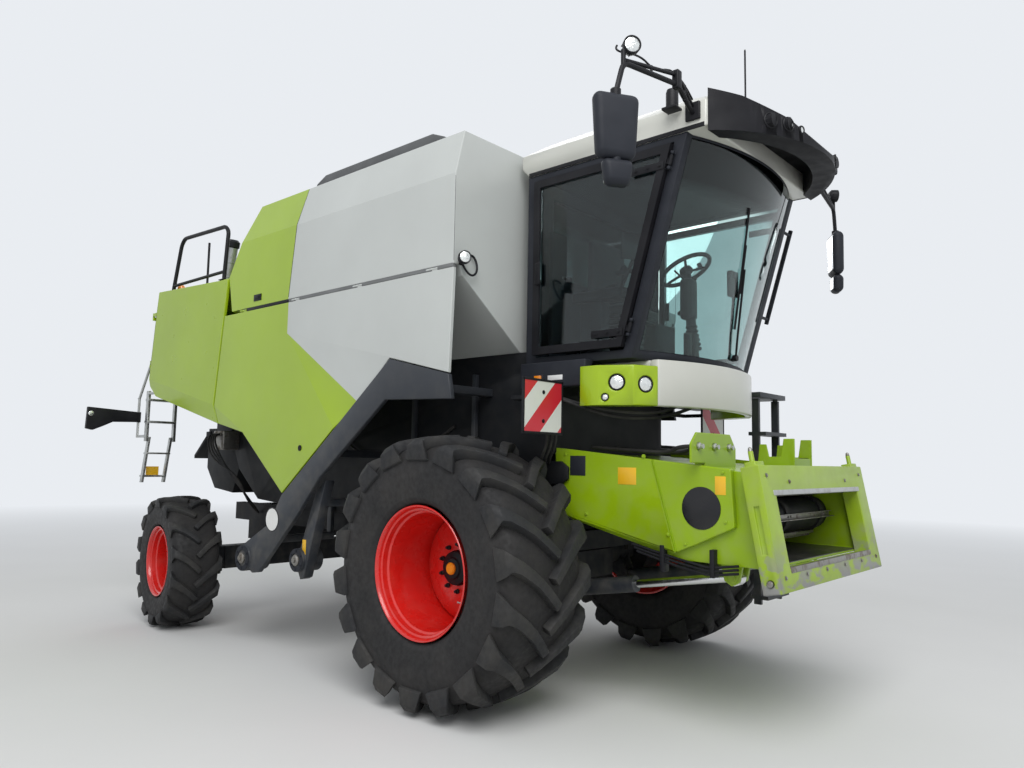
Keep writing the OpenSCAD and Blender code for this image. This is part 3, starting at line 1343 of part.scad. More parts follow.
chassis();
front_axle();
rear_axle();
threshing_body();
grain_tank();
hood();
side_bands();
engine();
cab_shell();
cab_glass();
cab_roof();
visor();
driver_seat();
steering_column();
cab_console();
bumper();
lamp_pods();
mirrors();
hand_rails();
access_platform();
rear_ladder();
chopper();
auger_base();
marker_lamps();
hazard_plates();
front_tyre_right();
front_rim_right();
front_tyre_left();
front_rim_left();
knuckle_right();
knuckle_left();
rear_tyre_right();
rear_rim_right();
rear_tyre_left();
rear_rim_left();
feeder_house();
feeder_shields();
front_frame();
feeder_chain();
lift_barrel_right();
lift_rod_right();
lift_barrel_left();
lift_rod_left();
unloading_auger();
tank_lid_right();
tank_lid_left();
door_frame_left();
door_glass_left();
window_frame_right();
window_glass_right();
side_panel_right();
side_panel_left();
rear_panel_right();
rear_panel_left();
front_ladder();
rear_ladder_lower();
chopper_deflector();
lamp_arm_right();
lamp_arm_left();
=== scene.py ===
"""Looks of a combine harvester without its header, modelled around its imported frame.

Lengths are metres. A point called a spot is measured from the ground under the middle of the
front axle: x to the machine's left side, y to its rear and z up.
"""
import json
import logging
import math
from collections.abc import Iterator
from contextlib import contextmanager
from dataclasses import dataclass
from enum import Enum

import bpy
from mathutils import Matrix, Vector


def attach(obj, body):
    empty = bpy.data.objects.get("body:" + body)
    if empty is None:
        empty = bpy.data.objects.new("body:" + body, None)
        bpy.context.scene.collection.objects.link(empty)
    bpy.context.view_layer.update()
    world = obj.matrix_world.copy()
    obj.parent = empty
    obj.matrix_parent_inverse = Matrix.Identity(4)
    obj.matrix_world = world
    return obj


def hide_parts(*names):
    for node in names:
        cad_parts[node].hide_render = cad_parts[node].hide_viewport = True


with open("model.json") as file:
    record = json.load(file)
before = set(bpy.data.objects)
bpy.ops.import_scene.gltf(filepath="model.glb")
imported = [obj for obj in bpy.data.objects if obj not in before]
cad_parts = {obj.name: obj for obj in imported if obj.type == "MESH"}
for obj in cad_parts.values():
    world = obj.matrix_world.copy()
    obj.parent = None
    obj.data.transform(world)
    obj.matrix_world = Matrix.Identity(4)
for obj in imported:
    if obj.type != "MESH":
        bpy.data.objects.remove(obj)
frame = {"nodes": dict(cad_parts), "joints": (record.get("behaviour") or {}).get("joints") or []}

log = logging.getLogger("harvester")
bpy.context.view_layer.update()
JOINTS = {row["name"]: row for row in frame["joints"]}
AXLE_Y = JOINTS["front_wheel_right_spin"]["pos_m"][1]
Colour = tuple[float, float, float]
Point = tuple[float, float, float]
Solid = bpy.types.Object
Socket = bpy.types.NodeSocket
# Distances below which points of a turned mesh and of a copied node are one point
TURNED_MERGE, COPIED_MERGE = 0.00002, 0.00005
# Angles in degrees: a copied node's faces that are flatter are one face, its sharper edges are rounded
FLAT_ANGLE, EDGE_ANGLE = 0.4, 25
OUTWARD, AHEAD, UP = Vector((1, 0, 0)), Vector((0, -1, 0)), Vector((0, 0, 1))


class Side(Enum):
    """The side of the machine that a piece is on."""

    RIGHT = -1
    LEFT = 1

    @property
    def tag(self) -> str:
        """Returns the word that ends the names of the side's pieces."""
        return self.name.lower()


def spot(x: float, y: float, z: float) -> Vector:
    """Returns a point measured from the front axle as a point of the frame."""
    return Vector((x, y + AXLE_Y, z))


# Modelling


def clear_selection() -> None:
    """Leaves object mode with nothing selected."""
    if bpy.context.object is not None and bpy.context.object.mode != "OBJECT":
        bpy.ops.object.mode_set(mode="OBJECT")
    bpy.ops.object.select_all(action="DESELECT")


def pick(*objects: Solid) -> None:
    """Selects the given objects only and makes the first one active."""
    clear_selection()
    for item in objects:
        item.select_set(True)
    bpy.context.view_layer.objects.active = objects[0]


@contextmanager
def editing(item: Solid) -> Iterator[None]:
    """Opens an object's mesh in edit mode with all of it selected, and closes it at the end."""
    pick(item)
    bpy.ops.object.mode_set(mode="EDIT")
    bpy.ops.mesh.select_all(action="SELECT")
    yield
    bpy.ops.object.mode_set(mode="OBJECT")


def face_outward(merge: float = 0.0) -> None:
    """Turns the faces of the mesh in edit mode outward, after merging points closer than a distance."""
    bpy.ops.mesh.select_all(action="SELECT")
    if merge > 0:
        bpy.ops.mesh.remove_doubles(threshold=merge)
    bpy.ops.mesh.normals_make_consistent(inside=False)


def settle(item: Solid) -> Solid:
    """Moves an object's place, turn and scale into its mesh and returns it."""
    pick(item)
    bpy.ops.object.transform_apply(location=True, rotation=True, scale=True)
    return item


def use_modifier(item: Solid, kind: str, **settings: object) -> Solid:
    """Adds a modifier with its settings and applies it.

    Args:
        item: The object that gets the modifier.
        kind: Blender's name for the kind of modifier.
        **settings: Values of the modifier's properties.

    Returns:
        The same object.
    """
    pick(item)
    modifier = item.modifiers.new(kind.title(), kind)
    for key, value in settings.items():
        setattr(modifier, key, value)
    bpy.ops.object.modifier_apply(modifier=modifier.name)
    return item


def soften(item: Solid, width: float, segments: int = 2, angle: float = 30, clamp: bool = True) -> Solid:
    """Rounds the edges that are sharper than an angle in degrees, and returns the object.

    Args:
        item: The object.
        width: Radius of the rounded edges.
        segments: Faces across each of them.
        angle: The angle.
        clamp: Whether the radius shrinks where two rounded edges would meet.

    Returns:
        The same object.
    """
    return use_modifier(item, "BEVEL", width=width, segments=segments, limit_method="ANGLE",
                        angle_limit=math.radians(angle), use_clamp_overlap=clamp)


def box(low: Vector, high: Vector, edge: float = 0.004, segments: int = 2) -> Solid:
    """Models a box between two corners with rounded edges.

    Args:
        low: One corner.
        high: The opposite corner.
        edge: Radius of its edges.
        segments: Faces across each rounded edge.

    Returns:
        The new object.
    """
    clear_selection()
    bpy.ops.mesh.primitive_cube_add(size=1, location=(low + high) / 2)
    item = bpy.context.object
    item.scale = [abs(high[i] - low[i]) for i in range(3)]
    settle(item)
    return soften(item, edge, segments) if edge > 0 else item


def turned_to(direction: Vector) -> Matrix:
    """Returns the turn that takes +Z to a direction."""
    return UP.rotation_difference(direction.normalized()).to_matrix().to_4x4()


def line(points: list[Vector], closed: bool, filled: bool = False) -> Solid:
    """Draws a line through points, edge by edge.

    Args:
        points: The points in order.
        closed: Whether the last point joins the first one.
        filled: Whether a face fills the closed line.

    Returns:
        The new object, in object mode.
    """
    clear_selection()
    bpy.ops.mesh.primitive_plane_add(size=0.01, location=(0, 0, 0))
    item = bpy.context.object
    with editing(item):
        bpy.ops.mesh.select_mode(type="VERT")
        bpy.ops.mesh.merge(type="CENTER")
        bpy.ops.transform.translate(value=points[0])
        for before, after in zip(points, points[1:]):
            bpy.ops.mesh.extrude_region_move(TRANSFORM_OT_translate={"value": after - before})
        if closed:
            bpy.ops.mesh.select_all(action="SELECT")
            bpy.ops.mesh.edge_face_add()
            if not filled:
                bpy.ops.mesh.delete(type="ONLY_FACE")
    return item


def plate(points: list[Vector], depth: Vector, edge: float = 0.003, segments: int = 2) -> Solid:
    """Models a plate from its outline.

    Args:
        points: Corners of the outline, in one plane.
        depth: Direction and length in which the outline gets its thickness.
        edge: Radius of the plate's edges.
        segments: Faces across each rounded edge.

    Returns:
        The new object.
    """
    item = line(points, closed=True, filled=True)
    with editing(item):
        bpy.ops.mesh.extrude_region_move(TRANSFORM_OT_translate={"value": depth})
        face_outward()
    return soften(item, edge, segments) if edge > 0 else item


def turned(profile: list[tuple[float, float]], steps: int = 48, ring: bool = False) -> Solid:
    """Turns a profile about +X.

    Args:
        profile: Pairs of a radius and a place along X.
        steps: Faces round the axis.
        ring: Whether the profile is a closed loop off the axis.

    Returns:
        The new object, with its axis through the origin.
    """
    item = line([Vector((along, 0, radius)) for radius, along in profile], closed=ring)
    with editing(item):
        bpy.ops.mesh.spin(steps=steps, angle=math.tau, center=(0, 0, 0), axis=(1, 0, 0))
        face_outward(TURNED_MERGE)
    return item


def rod(start: Vector, end: Vector, radius: float, sides: int = 20, edge: float = 0.12) -> Solid:
    """Models a round rod with rounded ends between two points.

    Args:
        start: Middle of its first end.
        end: Middle of its other end.
        radius: Its radius.
        sides: Faces round it.
        edge: Radius of its end edges as a share of its radius.

    Returns:
        The new object.
    """
    length = (end - start).length
    step = min(edge * radius, length / 4)
    profile = [(0, 0), (radius - step, 0), (radius, step), (radius, length - step), (radius - step, length),
               (0, length)]
    item = turned(profile, sides)
    item.data.transform(Matrix.Translation(start) @ turned_to(end - start)
                        @ Matrix.Rotation(-math.pi / 2, 4, "Y"))
    return item


def pipe(points: list[Vector], radius: float, smooth: bool = True) -> Solid:
    """Models a bent pipe or hose through points.

    Args:
        points: The points in order.
        radius: Its radius.
        smooth: Whether its bends are drawn round.

    Returns:
        The new object, as a closed mesh.
    """
    clear_selection()
    curve = bpy.data.curves.new("pipe", "CURVE")
    curve.dimensions = "3D"
    spline = curve.splines.new("NURBS" if smooth else "POLY")
    spline.points.add(len(points) - 1)
    for place, point in zip(spline.points, points):
        place.co = (*point, 1)
    if smooth:
        spline.order_u = 3
        spline.use_endpoint_u = True
        spline.resolution_u = 5
    curve.bevel_depth = radius
    curve.bevel_resolution = 3
    curve.use_fill_caps = True
    item = bpy.data.objects.new("pipe", curve)
    bpy.context.scene.collection.objects.link(item)
    pick(item)
    bpy.ops.object.convert(target="MESH")
    item = bpy.context.object
    with editing(item):
        face_outward(COPIED_MERGE)
    return item


def round_bends(points: list[Vector], radius: float, steps: int = 5) -> list[Vector]:
    """Returns the points of a line whose corners are rounded to about a radius."""
    route = [points[0]]
    for before, corner, after in zip(points, points[1:], points[2:]):
        reach = min(radius, (corner - before).length * 0.48, (after - corner).length * 0.48)
        start = corner + (before - corner).normalized() * reach
        end = corner + (after - corner).normalized() * reach
        for step in range(steps + 1):
            share = step / steps
            route.append(start.lerp(corner, share).lerp(corner.lerp(end, share), share))
    route.append(points[-1])
    return route


def bent_rail(points: list[Vector], radius: float, bend: float = 0.07) -> Solid:
    """Models a round rail whose corners are bent to a radius."""
    return pipe(round_bends(points, bend), radius, smooth=False)


def ball(centre: Vector, size: Vector, rings: int = 16) -> Solid:
    """Models an egg-shaped solid with the given half sizes."""
    clear_selection()
    bpy.ops.mesh.primitive_uv_sphere_add(segments=rings * 2, ring_count=rings, radius=1, location=centre)
    item = bpy.context.object
    item.scale = size
    return settle(item)


def copied(item: Solid, place: Matrix) -> Solid:
    """Returns a copy of an object with its own mesh, moved by a matrix."""
    twin = item.copy()
    twin.data = item.data.copy()
    twin.data.transform(place)
    bpy.context.scene.collection.objects.link(twin)
    if place.determinant() < 0:
        twin.data.flip_normals()
    return twin


def ringed(item: Solid, count: int, start: float = 0.0) -> list[Solid]:
    """Copies an object round +X and returns all of them.

    Args:
        item: The first one, which is used up as the copy at the start angle.
        count: How many there are.
        start: Angle of the first one.

    Returns:
        The objects in order.
    """
    item.data.transform(Matrix.Rotation(start, 4, "X"))
    return [item] + [copied(item, Matrix.Rotation(math.tau * i / count, 4, "X")) for i in range(1, count)]


def other_side(item: Solid) -> Solid:
    """Returns a copy mirrored to the machine's other side."""
    return copied(item, Matrix.Scale(-1, 4, OUTWARD))


def joined(parts: list[Solid]) -> Solid:
    """Joins objects into one and returns it."""
    pick(*parts)
    if len(parts) > 1:
        bpy.ops.object.join()
    return bpy.context.object


def rounded_copy(node: str, width: float) -> Solid:
    """Copies a CAD node, merges its triangles into clean faces and rounds its edges.

    Args:
        node: Name of the CAD node.
        width: Radius of the rounded edges.

    Returns:
        The new object.
    """
    source = frame["nodes"][node]
    twin = bpy.data.objects.new(node + "_skin", source.data.copy())
    bpy.context.scene.collection.objects.link(twin)
    twin.data.materials.clear()
    with editing(twin):
        bpy.ops.mesh.remove_doubles(threshold=COPIED_MERGE)
        bpy.ops.mesh.dissolve_limited(angle_limit=math.radians(FLAT_ANGLE))
    return soften(twin, width, 2, EDGE_ANGLE, clamp=False) if width > 0 else twin


def dress(item: Solid, name: str, finish: "Finish", body: str = "root", replaced: tuple[str, ...] = (),
          smooth: float = 35) -> Solid:
    """Names a finished piece, gives it its material and lets it ride on its body.

    Args:
        item: The piece.
        name: Its name.
        finish: Its finish.
        body: The CAD body that carries it.
        replaced: CAD nodes that it stands for.
        smooth: Angle in degrees up to which its faces are shaded smooth.

    Returns:
        The piece.
    """
    pick(item)
    bpy.ops.object.shade_smooth_by_angle(angle=math.radians(smooth))
    item.name = name
    item.data.name = name
    item.data.materials.clear()
    item.data.materials.append(finish.material())
    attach(item, body)
    if replaced:
        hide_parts(*replaced)
    log.info("piece %s rides on %s with %d faces", name, body, len(item.data.polygons))
    return item


# Finishes


class Shading:
    """The nodes of one material, written from the surface's place on the object."""

    def __init__(self, name: str) -> None:
        """Starts a material with an empty principled shader."""
        self.material = bpy.data.materials.new(name)
        self.material.use_nodes = True
        self.nodes = self.material.node_tree.nodes
        self.links = self.material.node_tree.links
        self.shader = self.nodes["Principled BSDF"]
        self.place = self.nodes.new("ShaderNodeTexCoord").outputs["Object"]

    def put(self, socket: str, value: object) -> None:
        """Sets or links a socket of the shader."""
        target = self.shader.inputs[socket]
        if isinstance(value, Socket):
            self.links.new(value, target)
        else:
            target.default_value = (*value, 1) if isinstance(value, tuple) else value

    def noise(self, scale: float, detail: float = 3, stretch: Point = (1, 1, 1)) -> Socket:
        """Returns a noise from 0 to 1.

        Args:
            scale: Its size, as waves in a metre.
            detail: How many finer waves it has.
            stretch: Scale of each axis.

        Returns:
            The noise's value.
        """
        mapping = self.nodes.new("ShaderNodeMapping")
        mapping.inputs["Scale"].default_value = stretch
        self.links.new(self.place, mapping.inputs["Vector"])
        node = self.nodes.new("ShaderNodeTexNoise")
        node.inputs["Scale"].default_value = scale
        node.inputs["Detail"].default_value = detail
        self.links.new(mapping.outputs["Vector"], node.inputs["Vector"])
        return node.outputs["Fac"]

    def axis(self, name: str) -> Socket:
        """Returns the surface's X, Y or Z."""
        node = self.nodes.new("ShaderNodeSeparateXYZ")
        self.links.new(self.place, node.inputs[0])
        return node.outputs[name]

    def maths(self, kind: str, first: object, second: object = 0.0, third: object = 0.0) -> Socket:
        """Returns the result of a calculation with sockets or numbers."""
        node = self.nodes.new("ShaderNodeMath")
        node.operation = kind
        for place, value in enumerate((first, second, third)):
            if isinstance(value, Socket):
                self.links.new(value, node.inputs[place])
            else:
                node.inputs[place].default_value = value
        return node.outputs[0]

    def spread(self, value: Socket, low: float, high: float, first: float = 0.0, last: float = 1.0) -> Socket:
        """Returns a value whose range low to high is mapped onto first to last, and held there."""
        node = self.nodes.new("ShaderNodeMapRange")
        for key, number in (("From Min", low), ("From Max", high), ("To Min", first), ("To Max", last)):
            node.inputs[key].default_value = number
        self.links.new(value, node.inputs["Value"])
        return node.outputs["Result"]

    def mix(self, share: Socket, first: object, second: object) -> Socket:
        """Returns a colour between two colours."""
        node = self.nodes.new("ShaderNodeMix")
        node.data_type = "RGBA"
        self.links.new(share, node.inputs["Factor"])
        for key, value in (("A", first), ("B", second)):
            target = [s for s in node.inputs if s.name == key and s.type == "RGBA"][0]
            if isinstance(value, Socket):
                self.links.new(value, target)
            else:
                target.default_value = (*value, 1)
        return [s for s in node.outputs if s.type == "RGBA"][0]

    def cloud(self, scale: float, detail: float, first: float = 0.0, last: float = 1.0) -> Socket:
        """Returns a noise whose middle range is mapped onto first to last."""
        return self.spread(self.noise(scale, detail), 0.3, 0.7, first, last)

    def behind_axle(self) -> Socket:
        """Returns how far the surface is behind the front axle."""
        return self.maths("SUBTRACT", self.axis("Y"), AXLE_Y)

    def bump(self, height: Socket, depth: float, strength: float = 1.0) -> None:
        """Lets a height in metres show as relief."""
        node = self.nodes.new("ShaderNodeBump")
        node.inputs["Distance"].default_value = depth
        node.inputs["Strength"].default_value = strength
        self.links.new(height, node.inputs["Height"])
        self.links.new(node.outputs["Normal"], self.shader.inputs["Normal"])


def shade(colour: Colour, factor: float) -> Colour:
    """Returns a colour that is darker or lighter by a factor."""
    return tuple(min(1.0, part * factor) for part in colour)


@dataclass(frozen=True)
class Finish:
    """A finish, whose material is made once and then shared, and the record's slot that it belongs to."""

    name: str
    colour: Colour
    slot: str

    def material(self) -> bpy.types.Material:
        """Returns the finish's material."""
        found = bpy.data.materials.get(self.name)
        return found if found is not None else self.shaded(Shading(self.name)).material

    def shaded(self, work: Shading) -> Shading:
        """Writes the material's nodes and returns them."""
        work.put("Base Color", self.colour)
        return work


@dataclass(frozen=True)
class Paint(Finish):
    """Sprayed paint with a soft skin, faint uneven colour and road dust that thins out upwards."""

    roughness: float = 0.3
    coat: float = 0.3
    dust: float = 0.25
    dust_top: float = 2.2
    dust_colour: Colour = (0.3, 0.27, 0.22)
    specular: float = 0.5

    def tone(self, work: Shading) -> Socket:
        """Returns the colour of the clean paint."""
        return self.cloudy(work, self.colour, 0.93)

    def cloudy(self, work: Shading, colour: Colour, dark: float, light: float = 1.05) -> Socket:
        """Returns a colour that is darker and lighter in wide, faint clouds."""
        return work.mix(work.cloud(1.3, 4), shade(colour, dark), shade(colour, light))

    def shaded(self, work: Shading) -> Shading:
        """Writes the material's nodes and returns them."""
        grain = work.noise(9, 8)
        height = work.spread(work.axis("Z"), 0.2, self.dust_top, 1.0, 0.12)
        dusty = work.maths("MULTIPLY", work.maths("MULTIPLY", work.spread(grain, 0.42, 0.72), height),
                           self.dust)
        work.put("Base Color", work.mix(dusty, self.tone(work), self.dust_colour))
        rough = work.cloud(6, 5, self.roughness - 0.04, self.roughness + 0.06)
        work.put("Roughness", work.maths("MULTIPLY_ADD", dusty, 0.6, rough))
        work.put("Specular IOR Level", self.specular)
        work.put("Coat Weight", self.coat)
        work.put("Coat Roughness", 0.12)
        work.bump(work.noise(140, 2), 0.0006, 0.12)
        return work


@dataclass(frozen=True)
class SeamPaint(Paint):
    """Two paints that meet along the seam of the grain tank and the side panels.

    Above the groove's height the seam leans forward with its height. Below it, the second paint
    lies behind the corner and under the slope that rises from it.
    """

    second: Colour = (0.4, 0.6, 0.03)
    groove: float = 2.973
    seam_y: float = 1.96
    seam_lean: float = 0.133
    corner: tuple[float, float] = (1.952, 2.686)
    slope: float = 0.654

    def tone(self, work: Shading) -> Socket:
        """Returns the colour on either side of the seam."""
        y = work.behind_axle()
        z = work.axis("Z")
        seam = work.maths("MULTIPLY_ADD", work.maths("SUBTRACT", self.groove, z), self.seam_lean, self.seam_y)
        corner_y, corner_z = self.corner
        slant = work.maths("MULTIPLY_ADD", work.maths("SUBTRACT", y, corner_y), self.slope, corner_z)
        lower = work.maths("MAXIMUM", work.maths("GREATER_THAN", y, corner_y),
                           work.maths("LESS_THAN", z, slant))
        upper = work.maths("GREATER_THAN", z, self.groove)
        green = work.maths("ADD", work.maths("MULTIPLY", upper, work.maths("GREATER_THAN", y, seam)),
                           work.maths("MULTIPLY", work.maths("SUBTRACT", 1.0, upper), lower))
        return work.mix(green, self.cloudy(work, self.colour, 0.95, 1.03),
                        self.cloudy(work, self.second, 0.93))


@dataclass(frozen=True)
class StripePaint(Paint):
    """White plate with slanting red stripes."""

    second: Colour = (0.55, 0.015, 0.03)
    pitch: float = 0.36
    start: float = 0.02

    def tone(self, work: Shading) -> Socket:
        """Returns red or white, by the stripe that a point is in."""
        across = work.maths("ADD", work.axis("Z"), work.maths("ABSOLUTE", work.axis("X")))
        share = work.maths("FRACT", work.maths("DIVIDE", work.maths("ADD", across, self.start), self.pitch))
        return work.mix(work.maths("GREATER_THAN", share, 0.5), self.colour, self.second)


@dataclass(frozen=True)
class WornPaint(Paint):
    """Paint that is scraped down to grey metal in patches on its lower part."""

    metal: Colour = (0.24, 0.24, 0.23)
    worn_from: float = 1.25
    worn_to: float = 0.95

    def tone(self, work: Shading) -> Socket:
        """Returns the colour of paint or scraped metal."""
        patch = work.spread(work.noise(9, 10, (0.5, 1, 1)), 0.5, 0.56)
        low = work.spread(work.axis("Z"), self.worn_to, self.worn_from, 1.0, 0.0)
        return work.mix(work.maths("MULTIPLY", patch, low), self.cloudy(work, self.colour, 0.9), self.metal)


@dataclass(frozen=True)
class HousePaint(Paint):
    """Paint of the feeder house, whose inside is painted near black as painted shade.

    The roof and the floor are lines, each a height at the front axle and its rise per metre to the rear.
    """

    # Near-black colour of the painted shade on the house's inside faces
    metal: Colour = (0.02, 0.02, 0.019)
    half: float = 0.735
    top: tuple[float, float] = (1.729, 0.0733)
    floor: tuple[float, float] = (1.37, 0.2321)
    floor_low: float = 1.045
    skin: float = 0.01

    def tone(self, work: Shading) -> Socket:
        """Returns the colour of the clean paint, with painted shade between the house's walls."""
        y = work.behind_axle()
        z = work.axis("Z")
        roof = work.maths("MULTIPLY_ADD", y, self.top[1], self.top[0] - self.skin)
        slope = work.maths("MULTIPLY_ADD", y, self.floor[1], self.floor[0] + self.skin)
        floor = work.maths("MAXIMUM", slope, self.floor_low + self.skin)
        between = work.maths("LESS_THAN", work.maths("ABSOLUTE", work.axis("X")), self.half)
        high = work.maths("MULTIPLY", work.maths("LESS_THAN", z, roof), work.maths("GREATER_THAN", z, floor))
        # Between the walls, under the roof and above the floor, the paint gives way to painted shade
        return work.mix(work.maths("MULTIPLY", between, high), super().tone(work), self.metal)


@dataclass(frozen=True)
class Rubber(Finish):
    """Tyre rubber, greyed by dust in patches."""

    dust_colour: Colour = (0.045, 0.042, 0.038)

    def shaded(self, work: Shading) -> Shading:
        """Writes the material's nodes and returns them."""
        patch = work.spread(work.noise(5, 9), 0.4, 0.72)
        work.put("Base Color", work.mix(patch, self.colour, self.dust_colour))
        work.put("Roughness", work.cloud(30, 6, 0.55, 0.85))
        work.put("Specular IOR Level", 0.35)
        work.bump(work.noise(90, 5), 0.002, 0.35)
        return work


@dataclass(frozen=True)
class Metal(Finish):
    """Bare, galvanised or worn metal."""

    roughness: float = 0.35
    stain: Colour = (0.16, 0.11, 0.07)
    stained: float = 0.35
    metallic: float = 1.0

    def shaded(self, work: Shading) -> Shading:
        """Writes the material's nodes and returns them."""
        patch = work.maths("MULTIPLY", work.spread(work.noise(14, 8), 0.48, 0.75), self.stained)
        work.put("Base Color", work.mix(patch, self.colour, self.stain))
        work.put("Metallic", self.metallic)
        rough = work.cloud(40, 6, self.roughness - 0.1, self.roughness + 0.1)
        work.put("Roughness", work.maths("ADD", rough, patch))
        work.bump(work.noise(220, 3), 0.0008, 0.25)
        return work


@dataclass(frozen=True)
class Plastic(Finish):
    """Moulded plastic with a fine grain."""

    roughness: float = 0.45
    grain: float = 0.3

    def shaded(self, work: Shading) -> Shading:
        """Writes the material's nodes and returns them."""
        cloud = work.spread(work.noise(4, 7), 0.35, 0.7)
        work.put("Base Color",
                 work.mix(cloud, self.colour, tuple(part * 1.25 + 0.006 for part in self.colour)))
        work.put("Roughness", work.cloud(12, 5, self.roughness - 0.06, self.roughness + 0.08))
        work.put("Specular IOR Level", 0.18)
        work.bump(work.noise(400, 2), 0.0006, self.grain)
        return work


@dataclass(frozen=True)
class Glass(Finish):
    """Tinted safety glass with a little dust on it."""

    roughness: float = 0.01
    band_low: float = 9.0
    band: Colour = (0.1, 0.17, 0.16)

    def shaded(self, work: Shading) -> Shading:
        """Writes the material's nodes and returns them."""
        clear = work.mix(work.spread(work.noise(2.2, 6), 0.35, 0.7), self.colour, shade(self.colour, 0.9))
        height = work.spread(work.axis("Z"), self.band_low, self.band_low + 0.1)
        work.put("Base Color", work.mix(height, clear, self.band))
        work.put("Roughness", work.spread(work.noise(3, 8), 0.5, 0.9, self.roughness, self.roughness + 0.05))
        work.put("Transmission Weight", 1.0)
        work.put("IOR", 1.45)
        return work


@dataclass(frozen=True)
class Lens(Finish):
    """Ribbed lamp lens over a bright reflector."""

    ribs: float = 90.0
    metallic: float = 0.75

    def shaded(self, work: Shading) -> Shading:
        """Writes the material's nodes and returns them."""
        cloud = work.cloud(30, 3)
        work.put("Base Color", work.mix(cloud, shade(self.colour, 0.8), self.colour))
        work.put("Metallic", self.metallic)
        work.put("Roughness", work.cloud(60, 3, 0.08, 0.2))
        work.put("Coat Weight", 1.0)
        work.put("Coat Roughness", 0.03)
        cells = work.nodes.new("ShaderNodeTexVoronoi")
        cells.inputs["Scale"].default_value = self.ribs
        work.links.new(work.place, cells.inputs["Vector"])
        work.bump(cells.outputs["Distance"], 0.003, 0.6)
        return work


@dataclass(frozen=True)
class Cloth(Finish):
    """Woven seat cloth."""

    weave: float = 420.0

    def shaded(self, work: Shading) -> Shading:
        """Writes the material's nodes and returns them."""
        thread = work.noise(self.weave, 2)
        work.put("Base Color",
                 work.mix(work.spread(thread, 0.3, 0.7), shade(self.colour, 0.75), shade(self.colour, 1.3)))
        work.put("Roughness", 0.92)
        work.put("Sheen Weight", 0.25)
        work.bump(thread, 0.001, 0.6)
        return work


GREEN = Paint("lime green paint", (0.31, 0.45, 0.006), "green_paint", roughness=0.3, coat=0.35, dust=0.2,
              specular=0.35)
FEEDER_GREEN = Paint("feeder green paint", (0.27, 0.42, 0.005), "green_paint", roughness=0.34, coat=0.25,
                     dust=0.3, dust_top=2.0, specular=0.3)
HOUSE = HousePaint("feeder house paint", (0.27, 0.42, 0.005), "green_paint", roughness=0.34, coat=0.25,
                   dust=0.3, dust_top=2.0, specular=0.3)
WORN_GREEN = WornPaint("worn green paint", (0.3, 0.44, 0.016), "green_paint", roughness=0.42, coat=0.15,
                       dust=0.45, dust_top=2.2)
TANK = SeamPaint("grey and green tank paint", (0.5, 0.52, 0.5), "pale_paint", roughness=0.32, coat=0.35,
                 dust=0.15, second=(0.31, 0.45, 0.006))
PALE = Paint("pale grey paint", (0.56, 0.56, 0.51), "pale_paint", roughness=0.35, coat=0.3, dust=0.2)
DARK = Paint("anthracite paint", (0.03, 0.034, 0.041), "dark_paint", roughness=0.45, coat=0.05, dust=0.25,
             specular=0.35)
DEEP = Paint("black chassis paint", (0.007, 0.008, 0.01), "dark_paint", roughness=0.55, coat=0.0, dust=0.16,
             dust_top=1.6, specular=0.25)
RED = Paint("orange red wheel paint", (0.66, 0.014, 0.01), "red_paint", roughness=0.26, coat=0.5, dust=0.1)
ORANGE = Plastic("orange cap plastic", (0.85, 0.28, 0.01), "amber_lens", roughness=0.4)
BLACK = Plastic("black plastic", (0.008, 0.008, 0.01), "black_plastic", roughness=0.42)
GLOSS = Paint("gloss black paint", (0.005, 0.005, 0.007), "black_plastic", roughness=0.24, coat=0.25,
              dust=0.05, specular=0.35)
TRIM = Plastic("anthracite plastic", (0.018, 0.02, 0.026), "dark_plastic", roughness=0.5)
VISOR = Plastic("black visor plastic", (0.004, 0.004, 0.006), "black_plastic", roughness=0.5, grain=0.1)
LID = Plastic("grey lid plastic", (0.085, 0.088, 0.09), "dark_plastic", roughness=0.45)
RUBBER = Rubber("tyre sidewall rubber", (0.016, 0.0155, 0.016), "tyre_rubber", (0.028, 0.026, 0.025))
TREAD = Rubber("tyre tread rubber", (0.019, 0.0195, 0.021), "tyre_rubber", (0.04, 0.038, 0.035))
STRIP = Plastic("grey strip plastic", (0.15, 0.155, 0.155), "dark_plastic", roughness=0.45)
PIPE = Metal("grey pipe steel", (0.36, 0.37, 0.37), "bare_steel", roughness=0.5, stained=0.25)
HOSE = Rubber("hose rubber", (0.01, 0.01, 0.011), "tyre_rubber")
ZINC = Metal("galvanised steel", (0.5, 0.51, 0.5), "bare_steel", roughness=0.42, stained=0.2)
WORN = Metal("worn steel", (0.3, 0.29, 0.27), "bare_steel", roughness=0.45, stained=0.7)
CHROME = Metal("rod chrome", (0.75, 0.76, 0.77), "bare_steel", roughness=0.14, stained=0.05)
GLASS = Glass("screen glass", (0.62, 0.84, 0.8), "cab_glass", band_low=3.38)
SIDE_GLASS = Glass("dark side glass", (0.44, 0.56, 0.57), "cab_glass")
MIRROR = Metal("mirror glass", (0.85, 0.87, 0.88), "bare_steel", roughness=0.12, stained=0.02)
LAMP = Lens("lamp lens", (0.86, 0.88, 0.86), "white_paint")
AMBER = Lens("amber lens", (0.95, 0.28, 0.01), "amber_lens", metallic=0.0)
RED_LENS = Lens("red lens", (0.55, 0.01, 0.008), "red_paint", metallic=0.0)
CLOTH = Cloth("seat cloth", (0.03, 0.031, 0.034), "seat_fabric")
YELLOW = Paint("blank yellow label", (0.85, 0.48, 0.01), "amber_lens", roughness=0.4, coat=0.2, dust=0.2)
WHITE = Paint("white label", (0.78, 0.78, 0.76), "white_paint", roughness=0.4, coat=0.2, dust=0.25)
STRIPES = StripePaint("red and white plate", (0.66, 0.67, 0.62), "white_paint", roughness=0.35, coat=0.2,
                      dust=0.15)


# Wheels


